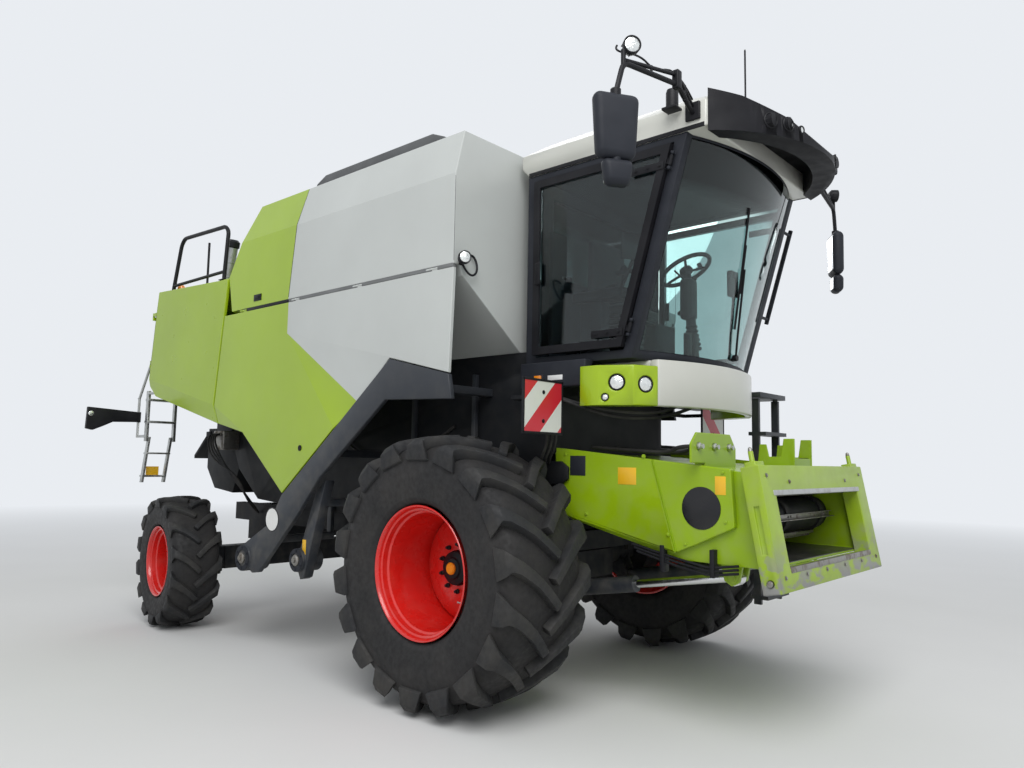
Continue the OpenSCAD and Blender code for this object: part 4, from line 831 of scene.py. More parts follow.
# Stations of a lug: share of its length, then at its top and at its foot the place across the
# tread as a share of half the width and the depth as a share of the sidewall's height, and last
# its width as a share of the lug's width in the middle of the tread
LUG_PATH = (
    (0.0, -0.06, 0.0, -0.06, 0.16, 0.9), (0.4, 0.4, 0.013, 0.4, 0.17, 1.0),
    (0.7, 0.78, 0.045, 0.74, 0.2, 1.3), (0.82, 0.935, 0.085, 0.84, 0.245, 1.8),
    (0.9, 0.985, 0.16, 0.87, 0.3, 2.7), (1.0, 0.965, 0.36, 0.88, 0.39, 4.1),
)
LUG_CUTS = (0.15, 0.28, 0.4, 0.55, 0.7, 0.82, 0.9)
# Share of a lug's length along which it sweeps round the tyre, the power of that sweep, the length
# of a lug as a share of half the tread, and how much wider its foot is than its top
SWEEP_END, SWEEP_POWER, LUG_REACH, FOOT_FLARE = 0.85, 1.2, 1.1, 0.3


@dataclass
class Wheel:
    """A tyre with its lugs and the rim that carries it, about +X with the outer side at +X.

    Its crown is how much of the tyre's height the tread has reached under the lugs, and its bead the
    place of the rim's lip as a share of the width.
    """

    axle: str
    side: Side
    radius: float
    width: float
    rim_radius: float
    disc_x: float
    hub_radius: float
    studs: int = 10
    lugs: int = 18
    lug_width: float = 0.062
    sweep: float = 0.34
    crown: float = 0.885
    bead: float = 0.43

    @property
    def name(self) -> str:
        """Returns the name of the wheel's body."""
        return f"{self.axle}_wheel_{self.side.tag}"

    def place(self) -> Matrix:
        """Returns the turn and place of the wheel in the frame."""
        row = JOINTS[self.name + "_spin"]
        axis = Vector(row["axis"]) * self.side.value
        turn = Matrix.Rotation(math.atan2(axis.y, axis.x), 4, "Z")
        return Matrix.Translation(Vector(row["pos_m"])) @ turn

    def carcass(self) -> Solid:
        """Models the tyre without its lugs."""
        half = self.width / 2
        r = self.rim_radius
        rise = (self.radius - r) * self.crown
        lip = self.width * self.bead - 0.03
        outer = [(r - 0.005, lip), (r + 0.012, lip + 0.014), (r + rise * 0.09, half * 0.865),
                 (r + rise * 0.12, half * 0.885), (r + rise * 0.15, half * 0.88),
                 (r + rise * 0.45, half * 0.945), (r + rise * 0.7, half * 0.925),
                 (r + rise * 0.86, half * 0.86), (r + rise * 0.95, half * 0.72),
                 (r + rise * 0.99, half * 0.42), (r + rise, 0)]
        profile = outer + [(radius, -along) for radius, along in reversed(outer[:-1])]
        return use_modifier(turned(profile, 96, ring=True), "SUBSURF", levels=1, render_levels=1)

    def lug_spot(self, u: float, v: float, h: float) -> Vector:
        """Returns where a point of a lug lies on the tyre.

        Args:
            u: Share of the lug's length, from the middle of the tread to its end on the sidewall.
            v: Share of its width, from -0.5 to 0.5.
            h: Share of its height.

        Returns:
            The point, with the lug's outer end at the top of the wheel.
        """
        half = self.width / 2
        before, after = [pair for pair in zip(LUG_PATH, LUG_PATH[1:]) if pair[0][0] <= u + 1e-6][-1]
        share = (u - before[0]) / (after[0] - before[0])
        top_x, top_deep, low_x, low_deep, wide = (a + share * (b - a) for a, b in zip(before[1:], after[1:]))
        along = half * (low_x + h * (top_x - low_x))
        radius = self.radius - (self.radius - self.rim_radius) * (low_deep + h * (top_deep - low_deep))
        width = self.lug_width * wide * (1 + FOOT_FLARE * (1 - h) * (1 - u ** 3))
        left = max(0.0, 1 - u / SWEEP_END)
        turn = self.sweep * self.radius
        arc = turn * left ** SWEEP_POWER
        arc_slope = -SWEEP_POWER * turn * left ** (SWEEP_POWER - 1) if left > 0 else 0.0
        reach = half * LUG_REACH
        length = math.hypot(reach, arc_slope)
        along -= v * width * arc_slope / length * min(1.0, left * 5)
        arc += v * width * reach / length
        angle = arc / self.radius * -self.side.value
        return Vector((min(along, half - 0.001), radius * math.sin(angle), radius * math.cos(angle)))

    def lug(self) -> Solid:
        """Models one lug as a bar that is cut across and then bent over the tread."""
        clear_selection()
        bpy.ops.mesh.primitive_cube_add(size=1, location=(0.5, 0, 0.5))
        item = settle(bpy.context.object)
        with editing(item):
            for share in LUG_CUTS:
                bpy.ops.mesh.select_all(action="SELECT")
                bpy.ops.mesh.bisect(plane_co=(share, 0, 0), plane_no=(1, 0, 0))
        for vertex in item.data.vertices:
            vertex.co = self.lug_spot(*vertex.co)
        with editing(item):
            face_outward()
        return soften(item, 0.006, 2, 32)

    def build_tyre(self) -> None:
        """Builds the tyre and its two rows of lugs."""
        first = self.lug()
        second = copied(first, Matrix.Rotation(math.pi / self.lugs, 4, "X") @ Matrix.Scale(-1, 4, OUTWARD))
        lugs = joined(ringed(first, self.lugs) + ringed(second, self.lugs))
        carcass = self.carcass()
        for item in (lugs, carcass):
            item.data.transform(self.place())
        dress(carcass, f"{self.name}_carcass", RUBBER, self.name, (self.node("tyre"),))
        dress(lugs, f"{self.name}_lugs", TREAD, self.name)

    def node(self, kind: str) -> str:
        """Returns the name of the CAD node of the tyre or the rim."""
        return self.name.replace("wheel", kind)

    def build_rim(self) -> None:
        """Builds the rim, its disc and what is bolted to it."""
        lip = self.width * self.bead
        r = self.rim_radius
        ring = [(r - 0.006, lip - 0.012), (r, lip - 0.004), (r - 0.003, lip), (r - 0.01, lip - 0.001),
                (r - 0.02, lip - 0.012), (r - 0.024, lip - 0.034), (r - 0.036, lip - 0.04),
                (r - 0.04, lip - 0.076), (r - 0.052, lip - 0.086), (r - 0.056, lip - 0.13),
                (r - 0.058, -lip + 0.06), (r - 0.036, -lip + 0.03), (r - 0.014, -lip), (r, -lip),
                (r - 0.004, -lip + 0.012), (r - 0.022, -lip + 0.02), (r - 0.024, -lip + 0.05),
                (r - 0.048, -lip + 0.075), (r - 0.046, lip - 0.13), (r - 0.036, lip - 0.108),
                (r - 0.032, lip - 0.05), (r - 0.012, lip - 0.02)]
        x = self.disc_x
        h = self.hub_radius
        deep = (r - 0.052) * 0.24
        dish = [(0, x - 0.014), (h * 1.55, x - 0.014), (h * 1.85, x - 0.024),
                (r - 0.13, x - 0.4 * deep - 0.016), (r - 0.075, x - 0.8 * deep - 0.014),
                (r - 0.05, x - deep - 0.014), (r - 0.05, x - deep), (r - 0.062, x - 0.72 * deep),
                (r - 0.085, x - 0.46 * deep), (r - 0.13, x - 0.26 * deep), (h * 1.95, x - 0.006),
                (h * 1.6, x + 0.006), (0, x + 0.006)]
        rim = joined([turned(ring, 96, ring=True), soften(turned(dish, 96), 0.003, 2, 20)])
        rim.data.transform(self.place())
        dress(rim, self.node("rim") + "_dish", RED, self.name, (self.node("rim"),))
        hub = turned([(0, x), (h * 0.98, x), (h, x + 0.02), (h * 0.93, x + 0.05), (h * 0.62, x + 0.06),
                      (h * 0.56, x + 0.075), (0, x + 0.078)], 48)
        stud = turned([(0, 0), (0.017, 0), (0.017, 0.016), (0.011, 0.02), (0.011, 0.034), (0, 0.036)], 6)
        stud.data.transform(Matrix.Translation((x + 0.005, 0, h * 1.32)))
        hub = joined([soften(hub, 0.003, 2, 25)] + ringed(stud, self.studs))
        hub.data.transform(self.place())
        dress(hub, self.node("hub"), BLACK, self.name)
        cap = turned([(0, x + 0.07), (h * 0.34, x + 0.07), (h * 0.34, x + 0.086), (h * 0.26, x + 0.096),
                      (0, x + 0.1)], 32)
        valve = rod(Vector((lip - 0.085, 0, r - 0.044)), Vector((lip - 0.05, 0, r - 0.078)), 0.006, 10)
        valve.data.transform(Matrix.Rotation(self.side.value * 2.0, 4, "X"))
        for item, kind, finish in ((cap, "cap", ORANGE), (valve, "valve", ZINC)):
            item.data.transform(self.place())
            dress(item, self.node(kind), finish, self.name)

    def build(self) -> None:
        """Builds the whole wheel."""
        self.build_tyre()
        self.build_rim()


# Skins over the solids of the frame


@dataclass(frozen=True)
class Skin:
    """A rounded copy of a CAD node, which stands for it."""

    node: str
    finish: Finish
    body: str = "root"
    edge: float = 0.004
    smooth: float = 35
    slot: str = ""

    def build(self) -> None:
        """Builds the copy."""
        dress(rounded_copy(self.node, self.edge), self.node + "_skin", self.finish, self.body, (self.node,),
              self.smooth)


SKINS = [
    Skin("grain_tank", TANK, edge=0.006, smooth=8),
    Skin("side_panel_right", TANK, "panel_right", 0.005, 5, "green_paint"),
    Skin("side_panel_left", TANK, "panel_left", 0.005, 5, "green_paint"),
    Skin("rear_panel_right", GREEN, "hood_panel_right", 0.006, 5),
    Skin("rear_panel_left", GREEN, "hood_panel_left", 0.006, 5),
    Skin("hood", GREEN, edge=0.005, smooth=8),
    Skin("side_bands", DARK, edge=0.006, slot="dark_plastic"),
    Skin("threshing_body", DEEP, edge=0.004),
    Skin("bumper", PALE, edge=0.01),
    Skin("lamp_pods", GREEN, edge=0.006),
    Skin("cab_roof", PALE, edge=0.012),
    Skin("visor", VISOR, edge=0.0),
    Skin("cab_shell", TRIM, edge=0.004, slot="dark_paint"),
    Skin("feeder_house", HOUSE, "feeder", 0.004, 12),
    Skin("feeder_shields", FEEDER_GREEN, "feeder", 0.008, 12),
    Skin("front_frame", WORN_GREEN, "feeder", 0.006),
    Skin("tank_lid_right", LID, "lid_right", 0.006),
    Skin("tank_lid_left", LID, "lid_left", 0.006),
    Skin("auger_base", GREEN, edge=0.004),
    Skin("unloading_auger", GREEN, "auger", 0.004),
    Skin("chopper", DEEP, edge=0.004),
    Skin("chopper_deflector", DEEP, "deflector", 0.003),
    Skin("access_platform", DARK, edge=0.003),
    Skin("rear_ladder", ZINC, edge=0.003),
    Skin("rear_ladder_lower", ZINC, "ladder_rear_low", 0.003),
]

NODE_FINISHES = {"chassis": DEEP, "front_axle": DEEP, "rear_axle": DEEP, "engine": DEEP,
                 "knuckle_right": DEEP, "knuckle_left": DEEP, "cab_glass": GLASS,
                 "door_glass_left": SIDE_GLASS, "window_glass_right": SIDE_GLASS, "door_frame_left": BLACK,
                 "window_frame_right": BLACK, "hazard_plates": STRIPES, "lift_barrel_right": DARK,
                 "lift_barrel_left": DARK, "lift_rod_right": CHROME, "lift_rod_left": CHROME,
                 "front_ladder": DARK, "lamp_arm_right": BLACK, "lamp_arm_left": BLACK}


def finish_nodes() -> None:
    """Gives the CAD nodes that stay in sight their finishes."""
    for node, finish in NODE_FINISHES.items():
        mesh = frame["nodes"][node].data
        mesh.materials.clear()
        mesh.materials.append(finish.material())


# Small parts that several assemblies use


def aimed(item: Solid, place: Vector, direction: Vector) -> Solid:
    """Moves a piece that was modelled along +X to a place, facing a direction."""
    way = direction.normalized()
    turn = OUTWARD.rotation_difference(way).to_matrix().to_4x4()
    if way.x < -0.999:
        turn = Matrix.Rotation(math.pi, 4, "Z")
    item.data.transform(Matrix.Translation(place) @ turn)
    return item


def bolt(place: Vector, direction: Vector, radius: float = 0.01) -> Solid:
    """Models a hexagonal bolt head on its washer, standing on a place."""
    washer = turned([(0, 0), (radius * 1.5, 0), (radius * 1.5, radius * 0.2), (0, radius * 0.2)], 20)
    head = turned([(0, radius * 0.2), (radius, radius * 0.2), (radius, radius * 0.75),
                   (radius * 0.8, radius * 0.9), (0, radius * 0.9)], 6)
    return aimed(joined([washer, head]), place, direction)


def dress_both(item: Solid, name: str, finish: Finish, body: str = "root", replaced: tuple[str, ...] = ()) -> None:
    """Dresses a piece of the machine's left side and its mirrored twin.

    Args:
        item: The piece.
        name: Start of both names, which end with the side.
        finish: Their finish.
        body: The CAD body that carries them, where {side} stands for its side.
        replaced: CAD nodes that the left one stands for.
    """
    twin = other_side(item)
    for side, piece, nodes in ((Side.LEFT, item, replaced), (Side.RIGHT, twin, ())):
        dress(piece, f"{name}_{side.tag}", finish, body.format(side=side.tag), nodes)


@dataclass(frozen=True)
class RoundLamp:
    """A round lamp with its bezel, lens and housing."""

    at: Point
    facing: Point
    radius: float
    housing: float = 0.0

    def build(self, name: str, side: Side, body: str = "root") -> None:
        """Builds the lamp.

        Args:
            name: Start of the names of its pieces.
            side: Side of the machine that it is on.
            body: CAD body that carries it.
        """
        r = self.radius
        parts = [turned([(r * 0.82, -0.006), (r * 0.82, 0.002), (r * 0.9, 0.006), (r, 0.002), (r, -0.006)],
                        40, ring=True)]
        if self.housing > 0:
            parts.append(turned([(r * 0.99, -0.004), (r * 0.99, -0.35 * self.housing),
                                 (r * 0.82, -0.8 * self.housing), (r * 0.5, -self.housing),
                                 (0, -self.housing)], 40))
            parts += ringed(box(Vector((-0.7 * self.housing, -0.003, r * 0.72)),
                                Vector((-0.2 * self.housing, 0.003, r)), 0.001), 8)
        lens = turned([(0, -0.006), (r * 0.83, -0.006), (r * 0.83, -0.001), (r * 0.6, 0.003),
                       (r * 0.3, 0.0055), (0, 0.006)], 40)
        place = spot(self.at[0] * side.value, self.at[1], self.at[2])
        facing = Vector((self.facing[0] * side.value, self.facing[1], self.facing[2]))
        dress(aimed(joined(parts), place, facing), f"{name}_housing_{side.tag}", BLACK, body)
        dress(aimed(lens, place, facing), f"{name}_lens_{side.tag}", LAMP, body)


@dataclass(frozen=True)
class Label:
    """A blank label that lies on a face of the machine."""

    name: str
    at: Point
    size: tuple[float, float]
    finish: Finish
    facing: Point = (-1, 0, 0)
    body: str = "root"

    def build(self) -> None:
        """Builds the label as a thin plate with rounded corners."""
        half_w, half_h = self.size[0] / 2, self.size[1] / 2
        item = box(Vector((0, -half_w, -half_h)), Vector((0.0016, half_w, half_h)), 0.0006)
        dress(aimed(item, spot(*self.at), Vector(self.facing)), self.name, self.finish, self.body)


# Cab


@dataclass
class Mirrors:
    """The mirror arms with two heads each and a lamp at the tip."""

    root: Point = (0.875, -1.55, 3.835)
    knee: Point = (1.15, -1.6, 3.9)
    tip: Point = (1.64, -1.54, 3.86)
    head: Point = (1.7, -1.53, 3.47)
    head_size: Point = (0.27, 0.1, 0.37)
    low_size: Point = (0.19, 0.09, 0.152)
    low_drop: float = 0.262
    turn: float = 32.0

    def shaped_head(self, size: Point, edge: float, narrow: float) -> Solid:
        """Models a head that gets narrower downwards, with its middle at the origin."""
        half = Vector(size) / 2
        item = box(-half, half, edge, 5)
        for vertex in item.data.vertices:
            share = 0.5 - vertex.co.z / size[2]
            vertex.co.x *= 1 - narrow * share
            if vertex.co.y < 0:
                vertex.co.y *= 1.0 - 0.25 * abs(vertex.co.z / half.z) ** 3
        return item

    def build(self) -> None:
        """Builds both mirrors."""
        root, knee, tip, head = (spot(*point) for point in (self.root, self.knee, self.tip, self.head))
        arm = [bent_rail([root, knee, tip, head + UP * 0.19], 0.016, 0.05),
               bent_rail([root + UP * 0.045, knee + UP * 0.06, tip + UP * 0.015], 0.012, 0.05),
               box(root + Vector((-0.016, -0.05, -0.045)), root + Vector((0.006, 0.05, 0.07)), 0.006, 3),
               box(knee + Vector((-0.02, -0.022, -0.03)), knee + Vector((0.03, 0.022, 0.085)), 0.008, 3),
               rod(root.lerp(knee, 0.55) - UP * 0.02, root.lerp(knee, 0.55) + UP * 0.08, 0.011),
               rod(knee.lerp(tip, 0.5), knee.lerp(tip, 0.5) + UP * 0.05, 0.008),
               rod(head + UP * 0.15, head + UP * 0.215, 0.03), rod(tip - UP * 0.03, tip + UP * 0.075, 0.014)]
        cable = pipe([root + UP * 0.09, knee + UP * 0.1, knee.lerp(tip, 0.4) + Vector((0, 0.02, 0.04)),
                      knee.lerp(tip, 0.75) + Vector((0, -0.015, 0.075)), tip + Vector((0.03, 0.05, 0.07)), tip
                      + Vector((-0.01, 0.05, 0.12))], 0.006)
        turn = Matrix.Translation(head) @ Matrix.Rotation(math.radians(self.turn), 4, "Z")
        main = self.shaped_head(self.head_size, 0.042, 0.16)
        low = self.shaped_head(self.low_size, 0.04, 0.28)
        low.data.transform(Matrix.Translation((-0.01, 0, -self.low_drop)))
        neck = rod(Vector((0, 0, -0.2)), Vector((-0.008, 0, -0.17)), 0.026)
        heads = joined([main, low, neck])
        heads.data.transform(turn)
        panes = joined([box(Vector((-0.098, 0.046, -0.145)), Vector((0.098, 0.0515, 0.15)), 0.002),
                        box(Vector((-0.075, 0.0415, -0.31)), Vector((0.052, 0.046, -0.215)), 0.002)])
        panes.data.transform(turn)
        dress_both(joined(arm + [cable]), "mirror_arm", BLACK, replaced=("mirrors",))
        dress_both(heads, "mirror_head", TRIM)
        dress_both(panes, "mirror_pane", MIRROR)
        for side in Side:
            RoundLamp((self.tip[0] - 0.03, self.tip[1] - 0.04, self.tip[2] + 0.105), (0.62, -0.78, -0.05),
                      0.052, 0.07).build("mirror_lamp", side)


@dataclass
class Cab:
    """What is fitted to the outside of the cab."""

    half: float = 0.85
    glass_radius: float = 2.103
    glass_foot: tuple[float, float] = (-1.235, 2.32)
    glass_lean: float = 0.292
    visor_middle: float = -1.0
    visor_radius: float = 1.06
    visor_lamps: tuple[tuple[float, float, float], ...] = ((0.54, 3.8, 0.051), (0.415, 3.8, 0.048),
                                                           (0.305, 3.79, 0.027))
    pod_lamps: tuple[tuple[float, float, float, float, float], ...] = ((0.78, -1.1525, 2.15, 28, 0.054),
            (0.906, -1.009, 2.16, 65.5, 0.054), (0.938, -0.939, 2.062, 65.5, 0.025))

    def glass_y(self, x: float, z: float) -> float:
        """Returns how far forward the windscreen is at a place across it and a height."""
        bulge = self.glass_radius - math.sqrt(self.glass_radius ** 2 - x ** 2)
        return self.glass_foot[0] + bulge - self.glass_lean * (z - self.glass_foot[1])

    def build_wiper(self) -> None:
        """Builds the wiper of the windscreen."""
        foot, bend, tip = (0.26, 2.425), (0.18, 2.56), (0.02, 3.02)
        spots = [spot(x, self.glass_y(x, z) - gap, z)
                 for (x, z), gap in zip((foot, bend, tip), (0.03, 0.035, 0.03))]
        ends = [spot(x, self.glass_y(x, z) - 0.012, z) for x, z in ((0.14, 2.62), (-0.1, 3.42))]
        arm = [pipe(round_bends(spots, 0.06), 0.008, smooth=False),
               rod(spots[0] + Vector((0, 0.03, 0)), spots[0] - Vector((0, 0.012, 0)), 0.024),
               rod(ends[0], ends[1], 0.009, 8),
               rod(ends[0].lerp(ends[1], 0.3) - Vector((0, 0.01, 0)), ends[0].lerp(ends[1], 0.7)
                   - Vector((0, 0.01, 0)), 0.007, 8)]
        dress(joined(arm), "wiper", BLACK)

    def build_roof(self) -> None:
        """Builds the rubber edge of the roof, the aerial and the black beacon cover."""
        edges = []
        for x in (-self.half - 0.0105, self.half + 0.0045):
            edges.append(box(spot(x, -1.625, 3.738), spot(x + 0.006, -0.19, 3.768), 0.002))
        dress(joined(edges), "roof_edge", BLACK)
        aerial = [rod(spot(0, -1.5, 4.03), spot(0, -1.5, 4.64), 0.0066, 12, 0.9),
                  turned([(0, 0), (0.034, 0), (0.032, 0.022), (0.016, 0.03), (0.012, 0.06), (0, 0.064)], 24)]
        aimed(aerial[1], spot(0, -1.5, 4.038), UP)
        dress(joined(aerial), "aerial", BLACK)
        cover = aimed(turned([(0, 0), (0.04, 0), (0.04, 0.1), (0.034, 0.122), (0.018, 0.13), (0, 0.131)], 32),
                      spot(-0.9, -1.42, 3.894), UP)
        bracket = box(spot(-0.95, -1.47, 3.878), spot(-0.86, -1.37, 3.896), 0.004)
        dress(joined([cover, bracket]), "beacon_cover", BLACK)

    def hinge_plate(self, front: float, low: float) -> Solid:
        """Models a hinge plate with three bolts on the left door, from its front end and low edge."""
        x = self.half + 0.0435
        item = box(spot(x, front, low), spot(x + 0.007, front + 0.25, low + 0.052), 0.003)
        bolts = [bolt(spot(x + 0.007, front + y, low + 0.026), OUTWARD, 0.009) for y in (0.03, 0.12, 0.21)]
        return joined([item] + bolts)

    def build_doors(self) -> None:
        """Builds the hinge plates and handles of the door and of the opening side window."""
        plates = joined([self.hinge_plate(-1.355, 3.515), self.hinge_plate(-1.045, 2.465)])
        grip = joined([box(spot(self.half + 0.043, -0.345, 2.9), spot(self.half + 0.062, -0.3, 3.06), 0.006,
                           3),
                       rod(spot(self.half + 0.01, -0.52, 2.93), spot(self.half - 0.045, -0.52, 2.93), 0.008),
                       ball(spot(self.half - 0.06, -0.52, 2.93), Vector((0.026, 0.026, 0.022)), 12)])
        fittings = joined([plates, grip])
        twin = other_side(fittings)
        dress(fittings, "cab_door_fittings", BLACK, "cab_door")
        dress(twin, "cab_window_fittings", BLACK, "cab_window")

    def build_side_housing(self) -> None:
        """Builds the dark housing with its blank plate under the right side window."""
        housing = joined([box(spot(-0.935, -0.775, 2.15), spot(-0.845, -0.2, 2.33), 0.01, 3),
                          box(spot(-0.945, -0.42, 2.176), spot(-0.93, -0.33, 2.24), 0.004)])
        dress(housing, "cab_side_housing", TRIM)
        Label("housing_plate", (-0.9352, -0.52, 2.215), (0.13, 0.034), WHITE).build()
        marker = box(spot(-0.962, -0.408, 2.182), spot(-0.944, -0.348, 2.234), 0.006, 3)
        dress(marker, "side_marker", AMBER)

    def build(self) -> None:
        """Builds all of it."""
        self.build_wiper()
        self.build_roof()
        self.build_doors()
        self.build_side_housing()
        for index, (x, z, radius) in enumerate(self.visor_lamps):
            angle = math.asin(x / self.visor_radius)
            y = self.visor_middle - self.visor_radius * math.cos(angle)
            for side in Side:
                RoundLamp((x, y - 0.003, z), (math.sin(angle), -math.cos(angle), 0), radius).build(
                        f"visor_lamp_{index}", side)
        for index, (x, y, z, turn, radius) in enumerate(self.pod_lamps):
            angle = math.radians(turn)
            facing = (math.sin(angle), -math.cos(angle), 0)
            for side in Side:
                RoundLamp((x - facing[0] * 0.004, y - facing[1] * 0.004, z), facing, radius).build(
                        f"pod_lamp_{index}", side)


@dataclass
class CabInside:
    """Seat, steering column, console and screens inside the cab."""

    wheel: Point = (0, -1.01, 3.08)
    wheel_radius: float = 0.19
    wheel_tilt: float = -28.0

    def pad(self, low: Vector, high: Vector, face: int, crown: float) -> Solid:
        """Models a seat pad whose face along an axis is crowned and has two seams.

        Args:
            low: Its lowest corner.
            high: Its highest corner.
            face: Axis of the crowned face, 1 for its front and 2 for its top.
            crown: Height of the crown.

        Returns:
            The new object.
        """
        clear_selection()
        bpy.ops.mesh.primitive_cube_add(size=2, location=(0, 0, 0))
        item = bpy.context.object
        with editing(item):
            bpy.ops.mesh.subdivide(number_cuts=13)
        across = 2 if face == 1 else 1
        sign = -1 if face == 1 else 1
        middle, half = (low + high) / 2, (high - low) / 2
        for vertex in item.data.vertices:
            u, v, w = vertex.co.x, vertex.co[across], vertex.co[face] * sign
            bulge = (1 - u ** 4) * (1 - v ** 4) - 0.45 * math.exp(-((abs(u) - 0.62) / 0.05) ** 2)
            point = Vector([vertex.co[i] * half[i] for i in range(3)])
            if w > 0:
                point[face] += sign * crown * bulge * w
            round_off = 1 - 0.06 * abs(w) ** 6
            point.x *= round_off
            point[across] *= round_off
            vertex.co = point + middle
        return use_modifier(item, "SUBSURF", levels=1, render_levels=1)

    def build_seat(self) -> None:
        """Builds the driver's seat."""
        cushion = self.pad(spot(-0.24, -0.64, 2.762), spot(0.24, -0.262, 2.835), 2, 0.035)
        back = self.pad(spot(-0.228, -0.322, 2.86), spot(0.228, -0.27, 3.39), 1, 0.03)
        dress(cushion, "seat_cushion", CLOTH, replaced=("driver_seat",), smooth=60)
        dress(back, "seat_back", CLOTH, smooth=60)
        base = [box(spot(-0.16, -0.6, 2.382), spot(0.16, -0.34, 2.44), 0.01, 3),
                box(spot(-0.215, -0.62, 2.735), spot(0.215, -0.285, 2.768), 0.008, 3)]
        base += [box(spot(-0.12 - 0.01 * i, -0.56, 2.44 + 0.042 * i),
                     spot(0.12 + 0.01 * i, -0.37, 2.484 + 0.042 * i), 0.012, 3) for i in range(7)]
        base += [rod(spot(x, -0.3, 2.95), spot(x, -0.56, 2.975), 0.022) for x in (-0.245, 0.245)]
        dress(joined(base), "seat_base", BLACK)

    def build_column(self) -> None:
        """Builds the steering column with its wheel."""
        clear_selection()
        bpy.ops.mesh.primitive_torus_add(major_radius=self.wheel_radius, minor_radius=0.016,
                                         major_segments=64, minor_segments=16, location=(0, 0, 0))
        ring = bpy.context.object
        parts = [ring,
                 aimed(turned([(0, -0.03), (0.046, -0.03), (0.052, -0.01), (0.044, 0.014), (0, 0.022)], 32),
                       Vector((0, 0, 0)), UP)]
        for turn in (90, 210, 330):
            angle = math.radians(turn)
            outward = Vector((math.cos(angle), math.sin(angle), 0))
            parts.append(rod(outward * 0.03 - Vector((0, 0, 0.012)), outward * self.wheel_radius, 0.01, 12))
        parts.append(rod(Vector((0.15, -0.06, 0.01)), Vector((0.15, -0.06, 0.055)), 0.017))
        wheel = joined(parts)
        wheel.data.transform(Matrix.Translation(spot(*self.wheel))
                             @ Matrix.Rotation(math.radians(self.wheel_tilt), 4, "X"))
        low, high = spot(0, -1.08, 2.39), spot(0, -1.015, 3.05)
        column = [box(spot(-0.08, -1.15, 2.381), spot(0.08, -1.01, 2.405), 0.006, 3), rod(low, high, 0.036)]
        for step in range(6):
            place = low.lerp(high, 0.12 + 0.05 * step)
            column.append(rod(place, place + (high - low).normalized() * 0.02, 0.058 - 0.003 * step, 24, 0.3))
        column.append(box(spot(-0.062, -1.08, 2.7), spot(0.062, -0.985, 3.01), 0.028, 4))
        column += [rod(spot(s * 0.05, -1.03, 2.99), spot(s * 0.165, -1.01, 3.045), 0.007, 10)
                   for s in (-1, 1)]
        column += [box(spot(x, -1.165, 2.381), spot(x + 0.07, -1.13, 2.56), 0.008) for x in (-0.26, -0.16)]
        dress(joined([wheel] + column), "steering_column_looks", BLACK, replaced=("steering_column",))

    def build_console(self) -> None:
        """Builds the side console with its lever and screens."""
        console = [box(spot(-0.47, -0.76, 2.832), spot(-0.3, -0.3, 2.915), 0.022, 4),
                   box(spot(-0.44, -0.56, 2.381), spot(-0.33, -0.36, 2.835), 0.01, 3),
                   rod(spot(-0.385, -0.7, 2.905), spot(-0.385, -0.715, 3.01), 0.011),
                   ball(spot(-0.385, -0.718, 3.045), Vector((0.032, 0.028, 0.046)), 14),
                   box(spot(-0.455, -0.87, 3.0), spot(-0.425, -0.69, 3.03), 0.006),
                   rod(spot(-0.45, -0.74, 2.9), spot(-0.45, -0.86, 3.13), 0.014)]
        for step in range(5):
            console.append(box(spot(-0.455, -0.64 + 0.055 * step, 2.912),
                               spot(-0.415, -0.605 + 0.055 * step, 2.924), 0.003))
        dress(joined(console), "console", BLACK, replaced=("cab_console",))
        screen = box(Vector((-0.13, -0.016, -0.095)), Vector((0.13, 0.016, 0.095)), 0.01, 3)
        screen.data.transform(Matrix.Translation(spot(-0.45, -0.88, 3.18)) @ Matrix.Rotation(-0.5, 4, "Z"))
        unit = box(spot(0.52, -1.13, 2.96), spot(0.64, -1.08, 3.17), 0.014, 3)
        stalk = rod(spot(0.6, -1.05, 2.382), spot(0.585, -1.11, 2.97), 0.012)
        dress(joined([screen, unit, stalk]), "screens", GLOSS)
        shelf = [box(spot(0.33, -0.56, 2.382), spot(0.64, -0.29, 2.78), 0.02, 3),
                 box(spot(-0.7, -0.3, 2.382), spot(-0.52, -0.262, 3.35), 0.01)]
        dress(joined(shelf), "cab_lockers", TRIM)

    def build(self) -> None:
        """Builds the inside."""
        self.build_seat()
        self.build_column()
        self.build_console()


# Feeder house


